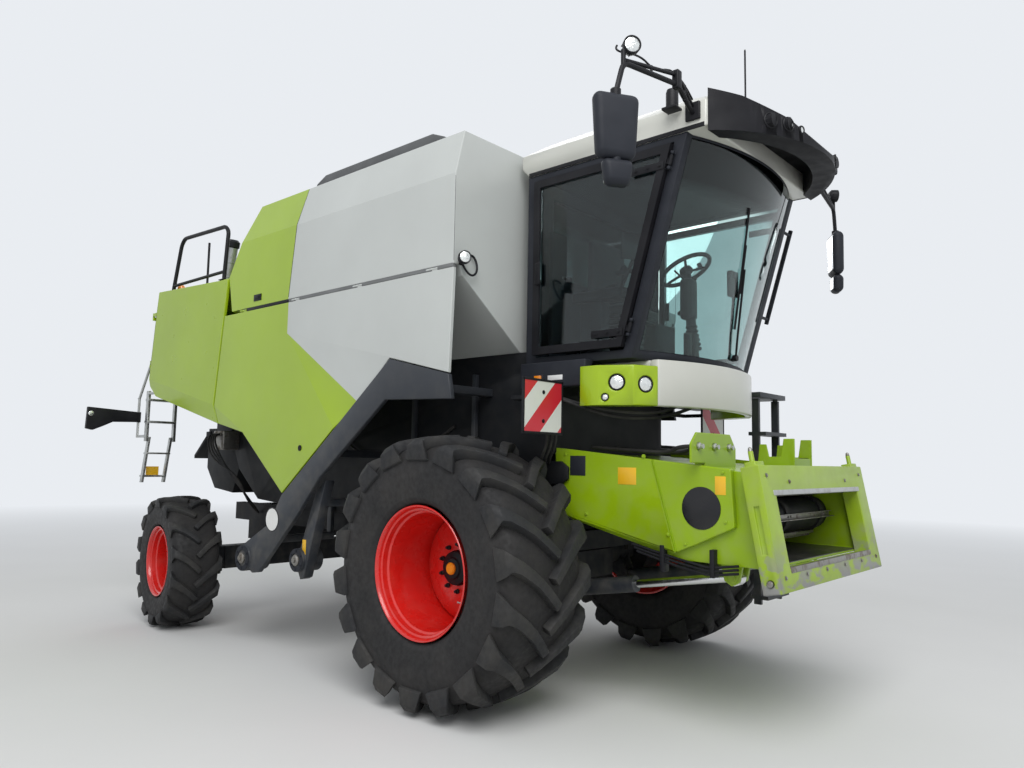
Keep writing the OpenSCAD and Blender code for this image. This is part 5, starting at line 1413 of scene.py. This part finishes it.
@dataclass
class Feeder:
    """Chain, covers, labels and fittings of the feeder house."""

    half: float = 0.745
    front_shaft: Point = (-1.64, 1.3, 0.12)
    rear_shaft: Point = (-0.64, 1.48, 0.095)
    frame_lean: float = 10.5
    shield_x: float = 0.8045
    couplings: Point = (-0.84, -0.64, -0.44)
    slats: int = 9
    body: str = "feeder"

    def slat(self, y: float, z: float, lean: float) -> Solid:
        """Models one slat, a channel with bolts that leans forward from upright by an angle in degrees."""
        wide = self.half - 0.03
        parts = [box(Vector((-wide, -0.02, 0)), Vector((wide, 0.02, 0.006)), 0.001),
                 box(Vector((-wide, -0.02, 0)), Vector((wide, -0.015, 0.046)), 0.001),
                 box(Vector((-wide, 0.015, 0)), Vector((wide, 0.02, 0.024)), 0.001)]
        parts += [bolt(Vector((x, 0, 0.006)), UP, 0.008) for x in (-0.62, -0.58, -0.02, 0.02, 0.58, 0.62)]
        item = joined(parts)
        item.data.transform(Matrix.Translation(spot(0, y, z)) @ Matrix.Rotation(math.radians(lean), 4, "X"))
        return item

    def build_chain(self) -> None:
        """Builds the drum, the belts and the slats."""
        (y0, z0, r0), (y1, z1, r1) = self.front_shaft, self.rear_shaft
        drums = [rod(spot(-self.half, y0, z0), spot(self.half, y0, z0), 0.03),
                 rod(spot(-self.half, y1, z1), spot(self.half, y1, z1), 0.03),
                 rod(spot(-self.half + 0.02, y0, z0), spot(self.half - 0.02, y0, z0), r0 - 0.004, 40, 0.05)]
        dress(joined(drums), "feeder_drum", DEEP, self.body, ("feeder_chain",))
        belts = []
        ahead = Vector((0, y0 - y1, z0 - z1)).normalized()
        for x in (-0.6, 0, 0.6):
            points = []
            for y, z, radius, first in ((y0, z0, r0 + 0.008, -90), (y1, z1, r1 + 0.008, 90)):
                for step in range(13):
                    angle = math.radians(first + 15 * step)
                    out = ahead * math.cos(angle) + Vector((0, -ahead.z, ahead.y)) * -math.sin(angle)
                    points.append(spot(x, y, z) + out * radius)
            loop = plate(points, Vector((0.06, 0, 0)), 0)
            loop.data.transform(Matrix.Translation((-0.03, 0, 0)))
            belts.append(loop)
        dress(joined(belts), "feeder_belts", HOSE, self.body)
        slats = []
        for i in range(self.slats):
            t = i / (self.slats - 1)
            y, z, r = (a + t * (b - a) for a, b in zip(self.front_shaft, self.rear_shaft))
            for way in (-1, 1):
                slats.append(self.slat(y, z + way * (r + 0.004), 90 - 90 * way))
        slats.append(self.slat(y0 - r0 - 0.006, z0, 90))
        dress(joined(slats), "feeder_slats", WORN, self.body)

    def build_covers(self) -> None:
        """Builds the round covers and the bolts of the side shields."""
        cover = aimed(turned([(0, 0), (0.129, 0), (0.128, 0.0028), (0.12, 0.0042), (0, 0.0042)], 64),
                      spot(0.8052, -1.555, 1.372), OUTWARD)
        flap = box(spot(0.803, -0.69, 1.545), spot(0.808, -0.56, 1.68), 0.002)
        bolts = [bolt(spot(self.shield_x, y, z), OUTWARD, 0.01)
                 for y, z in ((-0.52, 1.69), (-1.7, 1.59), (-1.715, 1.3), (-1.45, 1.15), (-0.7, 1.29),
                              (-1.15, 1.68), (-1.33, 1.2))]
        dress_both(flap, "feeder_flap", TRIM, self.body)
        dress_both(cover, "feeder_cover", GLOSS, self.body)
        dress_both(joined(bolts), "feeder_bolts", FEEDER_GREEN, self.body)

    def build_labels(self) -> None:
        """Builds the blank yellow labels of the feeder house."""
        for side in Side:
            x = (self.shield_x + 0.0005) * side.value
            for index, (y, z, wide, high) in enumerate(((-1.025, 1.552, 0.14, 0.11),
                                                        (-1.683, 1.512, 0.07, 0.11))):
                Label(f"feeder_label_{index}_{side.tag}", (x, y, z), (wide, high), YELLOW, (side.value, 0, 0),
                      self.body).build()

    def build_lines(self) -> None:
        """Builds the steel lines below the right shield and the couplings on the hose plate."""
        lines = [bent_rail([spot(-0.785, -1.05 - 0.02 * i, 1.12 - 0.022 * i),
                            spot(-0.79, -1.38, 1.055 - 0.022 * i), spot(-0.795, -1.6, 1.02 - 0.022 * i),
                            spot(-0.8, -1.79, 1.05 - 0.022 * i)], 0.008, 0.05) for i in range(3)]
        lines += [box(spot(-0.812, y, 0.965), spot(-0.743, y + 0.03, 1.13), 0.004) for y in (-1.64, -1.3)]
        dress(joined(lines), "feeder_lines", BLACK, self.body)
        profile = [(0, -0.04), (0.018, -0.04), (0.018, -0.01), (0.023, -0.01), (0.023, 0.018), (0.015, 0.024),
                   (0.015, 0.04), (0, 0.04)]
        couplings = [aimed(turned(profile, 24), spot(x, -1.553, 1.745), AHEAD) for x in self.couplings]
        dress(joined(couplings), "hose_couplings", ZINC, self.body)
        hoses = [pipe([spot(x, -1.515, 1.745), spot(x, -1.42, 1.745), spot(x * 0.9, -1.3, 1.7),
                       spot(x * 0.8, -0.95, 1.722), spot(x * 0.75, -0.62, 1.742)], 0.013)
                 for x in self.couplings]
        dress(joined(hoses), "feeder_hoses", HOSE, self.body)

    def build_lock(self) -> None:
        """Builds the lock bar and its bolts on the front frame."""
        base = Matrix.Translation(spot(0, -1.95, 1.64)) @ Matrix.Rotation(-math.radians(self.frame_lean), 4,
                "X")
        parts = [bolt(Vector((s * x, -0.0005, z)), AHEAD, 0.009) for s in (-1, 1)
                 for x, z in ((0.79, -0.06), (0.79, -0.64), (0.48, -0.645), (0.16, -0.645), (0.48, -0.1))]
        parts += [rod(Vector((s * 0.872, 0.055, -0.66)), Vector((s * 0.892, 0.055, -0.66)), 0.018)
                  for s in (-1, 1)]
        parts += [aimed(turned([(0, 0), (0.014, 0), (0.01, 0.02), (0, 0.026)], 20),
                        Vector((s * 0.82, 0.055, 0.088)), UP) for s in (-1, 1)]
        parts.append(box(Vector((-0.7, -0.0025, -0.622)), Vector((0.7, 0.03, -0.588)), 0.003))
        lip = box(Vector((-0.735, -0.003, -0.178)), Vector((0.735, 0.04, -0.146)), 0.004)
        item = joined(parts)
        for piece, name, finish in ((item, "frame_bolts", WORN), (lip, "frame_lip", ZINC)):
            piece.data.transform(base)
            dress(piece, name, finish, self.body)

    def build(self) -> None:
        """Builds all of it."""
        self.build_chain()
        self.build_covers()
        self.build_labels()
        self.build_lines()
        self.build_lock()


# Body


@dataclass
class BodyTrim:
    """Strips, seams, latches, labels and lamps on the tank and the panels."""

    side_x: float = 1.5
    groove_z: float = 2.971
    seam_top: float = 3.945

    def seam_at(self, z: float) -> float:
        """Returns the place along Y of the seam between the two paints at a height of the tank."""
        return TANK.seam_y + TANK.seam_lean * (TANK.groove - z)

    def build_strips(self) -> None:
        """Builds the strip in the long groove, grey beside the grey paint and black beside the green."""
        for name, start, end, finish in (("groove_strip_front", -0.062, 1.955, STRIP),
                                         ("groove_strip_rear", 1.959, 2.7, BLACK)):
            strip = box(spot(1.462, start, self.groove_z - 0.017), spot(1.501, end, self.groove_z + 0.016),
                        0.008, 3)
            dress_both(strip, name, finish)

    def build_seams(self) -> None:
        """Builds the thin dark joints of the tank."""
        outside = self.side_x + 0.0002
        seam = [spot(x, self.seam_at(z), z)
                for x, z in ((outside, 3.0), (outside, 3.62), (1.4202, self.seam_top))]
        front = [spot(self.side_x - 0.0015, -0.0705, z) for z in (3.0, 3.6)]
        right = pipe([Vector((-p.x, p.y, p.z)) for p in seam], 0.0022, smooth=False)
        dress(right, "tank_seam_right", BLACK)
        dress(pipe(seam[:2], 0.0022, smooth=False), "tank_seam_left", BLACK)
        edges = joined([pipe([Vector((s * p.x, p.y, p.z)) for p in front], 0.0018, smooth=False)
                        for s in (-1, 1)])
        dress(edges, "tank_edges", STRIP)

    def build_locks(self) -> None:
        """Builds the latch above the groove and the round panel locks."""
        latch = joined([box(spot(1.499, 2.395, 3.03), spot(1.506, 2.52, 3.09), 0.003),
                        box(spot(1.503, 2.425, 3.048), spot(1.512, 2.5, 3.072), 0.003)])
        dress_both(latch, "tank_latch", BLACK)
        ring = turned([(0.01, 0), (0.024, 0), (0.024, 0.005), (0.017, 0.007), (0.01, 0.002)], 28, ring=True)
        core = turned([(0, 0), (0.011, 0), (0.011, 0.004), (0, 0.004)], 20)
        lock = aimed(joined([ring, core]), spot(self.side_x - 0.0005, 1.685, 1.711), OUTWARD)
        dress_both(lock, "panel_lock", BLACK, "panel_{side}")

    def build_corner_lamp(self) -> None:
        """Builds the work lamp at the front right corner of the tank with its looped cable."""
        facing = Vector((-0.5, -0.866, 0))
        place = spot(-1.445, -0.109, 3.015) + facing * 0.051
        shell = aimed(turned([(0.037, 0.002), (0.0435, 0.004), (0.0455, -0.004), (0.0455, -0.03),
                              (0.04, -0.056), (0.037, -0.056)], 40, ring=True), place, facing)
        stem = rod(spot(-1.445, -0.078, 2.975), spot(-1.445, -0.092, 3.0), 0.012)
        cable = pipe([spot(-1.44, -0.09, 2.99), spot(-1.425, -0.11, 2.935), spot(-1.375, -0.125, 2.9),
                      spot(-1.32, -0.12, 2.935), spot(-1.3, -0.1, 3.01), spot(-1.335, -0.085, 3.075),
                      spot(-1.41, -0.085, 3.05)], 0.008)
        dress(joined([shell, stem, cable]), "corner_lamp", BLACK)
        lens = aimed(turned([(0, 0), (0.038, 0), (0.03, 0.004), (0, 0.007)], 32), place, facing)
        dress(lens, "corner_lens", LAMP)

    def build_labels(self) -> None:
        """Builds the blank white discs and yellow labels."""
        for side in Side:
            way = side.value
            for name, inner, outer, thick, finish in (("disc", 0, 0.092, 0.0016, WHITE),
                                                      ("ring", 0.092, 0.1, 0.002, GLOSS)):
                profile = [(inner, 0), (outer, 0), (outer, thick), (inner, thick)]
                item = turned(profile, 64, ring=inner > 0)
                dress(aimed(item, spot(1.5003 * way, 2.052, 1.11), Vector((way, 0, 0))),
                      f"band_{name}_{side.tag}", finish)
            for name, at, size in (("elevator_label", (1.4101 * way, 1.7, 0.905), (0.05, 0.12)),
                                   ("body_label", (0.7905 * way, 3.0, 1.9), (0.07, 0.13))):
                Label(f"{name}_{side.tag}", at, size, YELLOW, (way, 0, 0)).build()
        plate_low = box(spot(-1.33, 4.928, 1.388), spot(-1.19, 4.934, 1.505), 0.002)
        dress(plate_low, "ladder_label", YELLOW, "ladder_rear_low")

    def build_elevators(self) -> None:
        """Builds the bearings on the round ends of both elevators."""
        for index, (x, y, z, radius) in enumerate(((1.515, 2.475, 0.754, 0.112),
                                                   (1.44, 1.761, 0.796, 0.095))):
            plate_ring = turned([(radius * 0.62, 0), (radius * 0.98, 0), (radius * 0.98, 0.006),
                                 (radius * 0.62, 0.006)], 48, ring=True)
            hub = turned([(0, 0), (0.046, 0), (0.046, 0.012), (0.034, 0.022), (0.02, 0.022), (0.02, 0.034),
                          (0, 0.036)], 32)
            studs = ringed(bolt(Vector((0.006, 0, radius * 0.8)), OUTWARD, 0.008), 6)
            ring = aimed(joined([plate_ring] + studs), spot(x, y, z), OUTWARD)
            dress_both(ring, f"elevator_ring_{index}", TRIM)
            dress_both(aimed(hub, spot(x, y, z), OUTWARD), f"elevator_bearing_{index}", WORN)

    def build(self) -> None:
        """Builds all of it."""
        self.build_strips()
        self.build_seams()
        self.build_locks()
        self.build_corner_lamp()
        self.build_labels()
        self.build_elevators()


@dataclass
class HazardPlates:
    """Frames of the warning plates and the hoses behind the right one."""

    x: float = 1.18
    y: float = -0.62
    low: float = 1.82
    high: float = 2.17
    half: float = 0.206
    rim: float = 0.016

    def build(self) -> None:
        """Builds both frames and the hoses."""
        left, right = self.x - self.half, self.x + self.half
        inside = self.rim - 0.006
        bars = ((left, self.low - 0.006, right, self.low + inside),
                (left, self.high - inside, right, self.high + 0.006),
                (left, self.low, left + self.rim, self.high), (right - self.rim, self.low, right, self.high))
        parts = [box(spot(x0, self.y - 0.003, z0), spot(x1, self.y + 0.012, z1), 0.002)
                 for x0, z0, x1, z1 in bars]
        parts += [bolt(spot(self.x, self.y - 0.0005, z), AHEAD, 0.009) for z in (1.9, 2.09)]
        dress_both(joined(parts), "plate_frame", BLACK)
        hoses = []
        for i in range(5):
            x, y = -0.925 - 0.024 * i, -0.5 + 0.018 * (i % 2)
            hoses.append(pipe([spot(x, y + 0.1, 2.055), spot(x, y, 2.04), spot(x - 0.01, y - 0.03, 1.9),
                               spot(x + 0.012, y - 0.02, 1.76), spot(x + 0.03, y + 0.06, 1.64),
                               spot(x + 0.14, y + 0.15, 1.6)], 0.01))
        for route in (((-0.93, -0.59, 2.065), (-0.88, -0.8, 2.0), (-0.72, -1.04, 1.965),
                       (-0.52, -1.16, 1.985), (-0.45, -1.265, 2.05)),
                      ((-0.96, -0.59, 2.065), (-0.86, -0.8, 1.965), (-0.66, -1.0, 1.93), (-0.38, -1.16, 1.97),
                       (-0.3, -1.29, 2.05))):
            hoses.append(pipe([spot(*place) for place in route], 0.012))
        dress(joined(hoses), "cab_hoses", HOSE)


@dataclass
class RearGear:
    """Rail, pipes, beacon, lamps, belts and hoses at the rear."""

    rail_x: float = -1.405
    deck_z: float = 3.35

    def build_rail(self) -> None:
        """Builds the rail on the deck and the post of the left lamp arm."""
        x, z = self.rail_x, self.deck_z
        rail = bent_rail([spot(x, 4.35, z), spot(x, 4.35, z + 0.05), spot(x, 4.218, 3.87),
                          spot(x, 4.15, 3.928), spot(x, 3.29, 3.897), spot(x, 3.228, 3.84),
                          spot(x, 3.27, z + 0.05), spot(x, 3.27, z)], 0.02, 0.1)
        bar = rod(spot(x, 4.34, z + 0.09), spot(x, 3.27, z + 0.09), 0.016)
        post = bent_rail([spot(1.424, 4.57, 2.7), spot(1.424, 4.69, 2.7), spot(1.424, 4.985, 2.25),
                          spot(1.424, 4.985, 1.82)], 0.014)
        feet = [box(spot(x - 0.04, y - 0.04, z - 0.001), spot(x + 0.04, y + 0.04, z + 0.008), 0.002)
                for y in (4.35, 3.27)]
        dress(joined([rail, bar, post] + feet), "deck_rail", BLACK, replaced=("hand_rails",))

    def build_pipes(self) -> None:
        """Builds the two leaning pipes with their caps and the mast."""
        pipes, caps = [], []
        for x, y, radius in ((-1.18, 3.64, 0.052), (-1.04, 3.56, 0.046)):
            foot, head = spot(x, y, self.deck_z + 0.01), spot(x, y - 0.09, self.deck_z + 0.43)
            pipes.append(rod(foot, head, radius, 32, 0.05))
            pipes.append(rod(foot - Vector((0, 0, 0.01)), foot + Vector((0, 0, 0.02)), radius + 0.01, 32))
            for share in (0.25, 0.6):
                middle = foot.lerp(head, share)
                along = (head - foot).normalized()
                pipes.append(rod(middle, middle + along * 0.022, radius + 0.004, 32))
            caps.append(rod(spot(x, y - 0.086, self.deck_z + 0.41), spot(x, y - 0.106, self.deck_z + 0.505),
                            radius + 0.012, 32, 0.35))
        dress(joined(pipes), "deck_pipes", PIPE)
        caps.append(rod(spot(-1.26, 3.9, self.deck_z), spot(-1.26, 3.9, self.deck_z + 0.52), 0.012))
        dress(joined(caps), "deck_pipe_caps", BLACK)

    def build_beacon(self) -> None:
        """Builds the amber beacon."""
        foot = spot(-1.33, 4.33, self.deck_z)
        base = aimed(turned([(0, 0), (0.046, 0), (0.046, 0.016), (0.04, 0.024), (0, 0.024)], 32), foot, UP)
        dress(base, "beacon_base", BLACK, replaced=("marker_lamps",))
        dome = aimed(turned([(0, 0.02), (0.041, 0.02), (0.042, 0.08), (0.034, 0.102), (0.018, 0.112),
                             (0, 0.114)], 40), foot, UP)
        dress(dome, "beacon_dome", AMBER)

    def build_arm_lamps(self) -> None:
        """Builds the swinging lamp arms with their tail lamps and markers."""
        outline = ((1.424, 1.99), (1.424, 2.1), (1.96, 2.13), (1.969, 1.9), (1.9, 1.885), (1.8, 1.93),
                   (1.7, 1.98))
        for side in Side:
            way, name = side.value, side.tag
            body = f"lamp_arm_{name}"
            corners = [spot(way * x, 4.956, z) for x, z in outline]
            arm = joined([plate(corners, Vector((0, 0.044, 0)), 0.005, 3),
                          rod(spot(way * 1.424, 4.985, 1.988), spot(way * 1.424, 4.985, 2.102), 0.026)])
            dress(arm, f"{body}_plate", BLACK, body, (body,))
            case = box(spot(way * 1.56, 4.994, 1.985), spot(way * 1.86, 5.008, 2.085), 0.006, 3)
            dress(case, f"tail_lamp_case_{name}", TRIM, body)
            for index, (start, wide, finish) in enumerate(((1.58, 0.12, RED_LENS), (1.71, 0.13, AMBER))):
                lens = box(spot(way * start, 5.002, 1.997), spot(way * (start + wide), 5.0145, 2.073), 0.005,
                           3)
                dress(lens, f"tail_lens_{index}_{name}", finish, body)
            marker = aimed(turned([(0, 0), (0.028, 0), (0.026, 0.01), (0.018, 0.013), (0, 0.014)], 28),
                           spot(way * 1.93, 4.956, 2.06), AHEAD)
            dress(marker, f"end_marker_{name}", LAMP, body)

    def belt(self, first: Point, second: Point, x: float, thick: float = 0.011) -> Solid:
        """Models a belt round two pulleys, each given by its place along Y and Z and its radius."""
        start, end = Vector((0, first[0], first[1])), Vector((0, second[0], second[1]))
        way = (end - start).normalized()
        normal = Vector((0, -way.z, way.y))
        tilt = math.asin((first[2] - second[2]) / (end - start).length)
        points = []
        for centre, radius, begin, finish in ((start, first[2], math.pi / 2 - tilt, 1.5 * math.pi + tilt),
                                              (end, second[2], -math.pi / 2 + tilt, math.pi / 2 - tilt)):
            for step in range(17):
                angle = begin + (finish - begin) * step / 16
                out = way * math.cos(angle) + normal * math.sin(angle)
                points.append(spot(x, centre.y, centre.z) + out * (radius + 0.004))
        return pipe(points + [points[0], points[1]], thick, smooth=False)

    def build_drives(self) -> None:
        """Builds the faces of the pulleys and the belts that join them."""
        pulleys = ((3.48, 2.01, 0.23, 0.046), (4.02, 2.14, 0.12, 0.04), (3.13, 1.61, 0.12, 0.05),
                   (2.48, 1.7, 0.19, 0.04))
        faces = []
        for y, z, radius, width in pulleys:
            x = 0.809 + width
            face = turned([(0, -0.004), (radius * 0.22, -0.004), (radius * 0.22, 0.012),
                           (radius * 0.16, 0.016), (radius * 0.1, 0.016), (radius * 0.1, 0.03), (0, 0.03)],
                          40)
            rim_ring = turned([(radius * 0.86, -0.002), (radius * 1.0, -0.002), (radius * 1.0, 0.006),
                               (radius * 0.94, 0.009), (radius * 0.86, 0.004)], 56, ring=True)
            spokes = ringed(box(Vector((-0.002, -radius * 0.05, radius * 0.18)),
                                Vector((0.004, radius * 0.05, radius * 0.9)), 0.002), 6)
            faces.append(aimed(joined([face, rim_ring] + spokes), spot(x, y, z), OUTWARD))
        belts = [self.belt(pulleys[0][:3], pulleys[1][:3], 0.828),
                 self.belt(pulleys[2][:3], pulleys[3][:3], 0.834)]
        dress_both(joined(faces), "pulley_faces", WORN)
        dress_both(joined(belts), "drive_belts", HOSE)

    def build_lines(self) -> None:
        """Builds hoses, struts and the valve block above the rear axle."""
        parts = [box(spot(-0.985, 3.9, 1.7), spot(-0.8, 4.12, 1.9), 0.01, 3)]
        parts += [rod(spot(-0.985, 3.94 + 0.045 * i, 1.86), spot(-1.01, 3.94 + 0.045 * i, 1.86), 0.014)
                  for i in range(4)]
        dress(joined(parts), "valve_block", WORN)
        hoses = []
        for i in range(4):
            y = 3.94 + 0.045 * i
            hoses.append(pipe([spot(-1.008, y, 1.86), spot(-1.075, y, 1.86),
                               spot(-1.09, y - 0.1, 1.7 - 0.03 * i), spot(-1.0, 3.7 - 0.05 * i, 1.45),
                               spot(-0.86, 3.55, 1.2 - 0.02 * i), spot(-0.7, 3.62, 1.05)], 0.011))
        route = ((0.8, 0.6, 1.9), (0.86, 0.9, 1.7), (0.85, 1.4, 1.62), (0.83, 1.95, 1.72), (0.8, 2.2, 1.95))
        hoses += [pipe([spot(side.value * x, y, z) for x, y, z in route], 0.012) for side in Side]
        dress(joined(hoses), "rear_hoses", HOSE)
        struts = [rod(spot(s * 0.8, 4.25, 2.05), spot(s * 1.33, 4.56, 2.33), 0.014) for s in (-1, 1)]
        struts += [box(spot(s * 0.79, y, 1.16), spot(s * 0.826, y + 0.04, 2.3), 0.003) for s in (-1, 1)
                   for y in (0.35, 1.05, 2.9)]
        dress(joined(struts), "body_struts", DARK)

    def build(self) -> None:
        """Builds all of it."""
        self.build_rail()
        self.build_pipes()
        self.build_beacon()
        self.build_arm_lamps()
        self.build_drives()
        self.build_lines()


# Studio


@dataclass
class Studio:
    """Floor, light and camera."""

    eye: Point = (-5.13, -3.86, 1.64)
    yaw: float = 48.3
    pitch: float = 5.6
    roll: float = 1.0
    lens: float = 27.4
    sensor: float = 36.0
    floor_colour: Colour = (0.76, 0.76, 0.75)
    floor_size: float = 400
    floor_ends: tuple[float, float] = (6.0, 22.0)
    sky_colour: Colour = (0.86, 0.89, 0.93)
    sky_shown: float = 0.95
    sky_light: float = 0.56
    lamps: tuple[tuple[str, Point, float], ...] = (("key", (-7, -7, 10), 1020), ("fill", (8, 6, 8), 320))
    lamp_size: float = 9.0
    lamps_aim: Point = (0, 0, 1.5)

    def build_floor(self) -> None:
        """Lays the floor."""
        clear_selection()
        bpy.ops.mesh.primitive_plane_add(size=self.floor_size, location=(0, 0, 0))
        floor = bpy.context.object
        floor.name = "floor"
        work = Shading("pale floor")
        cloud = work.cloud(0.6, 6)
        flat = work.maths("SQRT",
                          work.maths("ADD", work.maths("POWER", work.axis("X"), 2.0),
                                     work.maths("POWER", work.axis("Y"), 2.0)))
        far = work.spread(flat, self.floor_ends[0], self.floor_ends[1])
        near = work.mix(cloud, shade(self.floor_colour, 0.97), self.floor_colour)
        work.put("Base Color", work.mix(far, near, (0.0, 0.0, 0.0)))
        work.put("Emission Color", self.sky_colour)
        work.put("Emission Strength", work.maths("MULTIPLY", far, self.sky_shown))
        work.put("Specular IOR Level", 0.0)
        work.put("Roughness", 0.9)
        floor.data.materials.append(work.material)

    def build_sky(self) -> None:
        """Lights the scene with a pale sky that shows brighter than it shines."""
        world = bpy.data.worlds.new("sky")
        bpy.context.scene.world = world
        world.use_nodes = True
        nodes, links = world.node_tree.nodes, world.node_tree.links
        nodes.clear()
        shown, light, mix = (nodes.new("ShaderNodeBackground"), nodes.new("ShaderNodeBackground"),
                             nodes.new("ShaderNodeMixShader"))
        path, out = nodes.new("ShaderNodeLightPath"), nodes.new("ShaderNodeOutputWorld")
        shown.inputs["Color"].default_value = (*self.sky_colour, 1)
        shown.inputs["Strength"].default_value = self.sky_shown
        light.inputs["Color"].default_value = (*self.sky_colour, 1)
        light.inputs["Strength"].default_value = self.sky_light
        seen = path.outputs["Is Camera Ray"]
        for kind in ("Is Glossy Ray", "Is Transmission Ray"):
            either = nodes.new("ShaderNodeMath")
            either.operation = "MAXIMUM"
            links.new(seen, either.inputs[0])
            links.new(path.outputs[kind], either.inputs[1])
            seen = either.outputs[0]
        links.new(seen, mix.inputs["Fac"])
        links.new(light.outputs[0], mix.inputs[1])
        links.new(shown.outputs[0], mix.inputs[2])
        links.new(mix.outputs[0], out.inputs["Surface"])

    def build_lamps(self) -> None:
        """Hangs a wide soft lamp over the machine's front right corner and a weak one behind it."""
        for name, place, power in self.lamps:
            data = bpy.data.lights.new(name, "AREA")
            data.shape = "DISK"
            data.size = self.lamp_size
            data.energy = power
            lamp = bpy.data.objects.new(name, data)
            lamp.location = place
            lamp.rotation_euler = (Vector(self.lamps_aim) - lamp.location).to_track_quat("-Z", "Y").to_euler()
            bpy.context.scene.collection.objects.link(lamp)

    def build_camera(self) -> None:
        """Puts the camera where the photograph was taken from."""
        yaw, pitch, roll = (math.radians(a) for a in (self.yaw, self.pitch, self.roll))
        ahead = Vector((math.sin(yaw) * math.cos(pitch), math.cos(yaw) * math.cos(pitch), math.sin(pitch)))
        right = Vector((math.cos(yaw), -math.sin(yaw), 0))
        up = right.cross(ahead)
        right_rolled = right * math.cos(roll) + up * math.sin(roll)
        up_rolled = up * math.cos(roll) - right * math.sin(roll)
        data = bpy.data.cameras.new("camera")
        data.lens = self.lens
        data.sensor_width = self.sensor
        data.clip_end = 500
        camera = bpy.data.objects.new("camera", data)
        turn = Matrix((right_rolled, up_rolled, -ahead)).transposed().to_4x4()
        camera.matrix_world = Matrix.Translation(spot(*self.eye)) @ turn
        bpy.context.scene.collection.objects.link(camera)
        bpy.context.scene.camera = camera

    def build(self) -> None:
        """Builds the studio."""
        bpy.context.scene.view_settings.view_transform = "Standard"
        self.build_floor()
        self.build_sky()
        self.build_lamps()
        self.build_camera()


FRONT_SIZES = {"radius": 0.905, "width": 0.8, "rim_radius": 0.435, "disc_x": -0.04, "hub_radius": 0.12}
REAR_SIZES = {"radius": 0.62, "width": 0.46, "rim_radius": 0.33, "disc_x": -0.02, "hub_radius": 0.085,
              "studs": 8, "lugs": 14, "lug_width": 0.048, "sweep": 0.3}
WHEELS = [Wheel(axle, side, **sizes) for axle, sizes in (("front", FRONT_SIZES), ("rear", REAR_SIZES))
          for side in Side]


def main() -> None:
    """Builds the machine's looks and the studio in order."""
    logging.basicConfig(level=logging.INFO, format="%(name)s: %(message)s")
    finish_nodes()
    for skin in SKINS:
        skin.build()
    for wheel in WHEELS:
        wheel.build()
    for assembly in (Cab(), CabInside(), Mirrors(), Feeder(), BodyTrim(), HazardPlates(), RearGear()):
        assembly.build()
    Studio().build()
    clear_selection()
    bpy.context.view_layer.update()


if __name__ == "__main__":
    main()
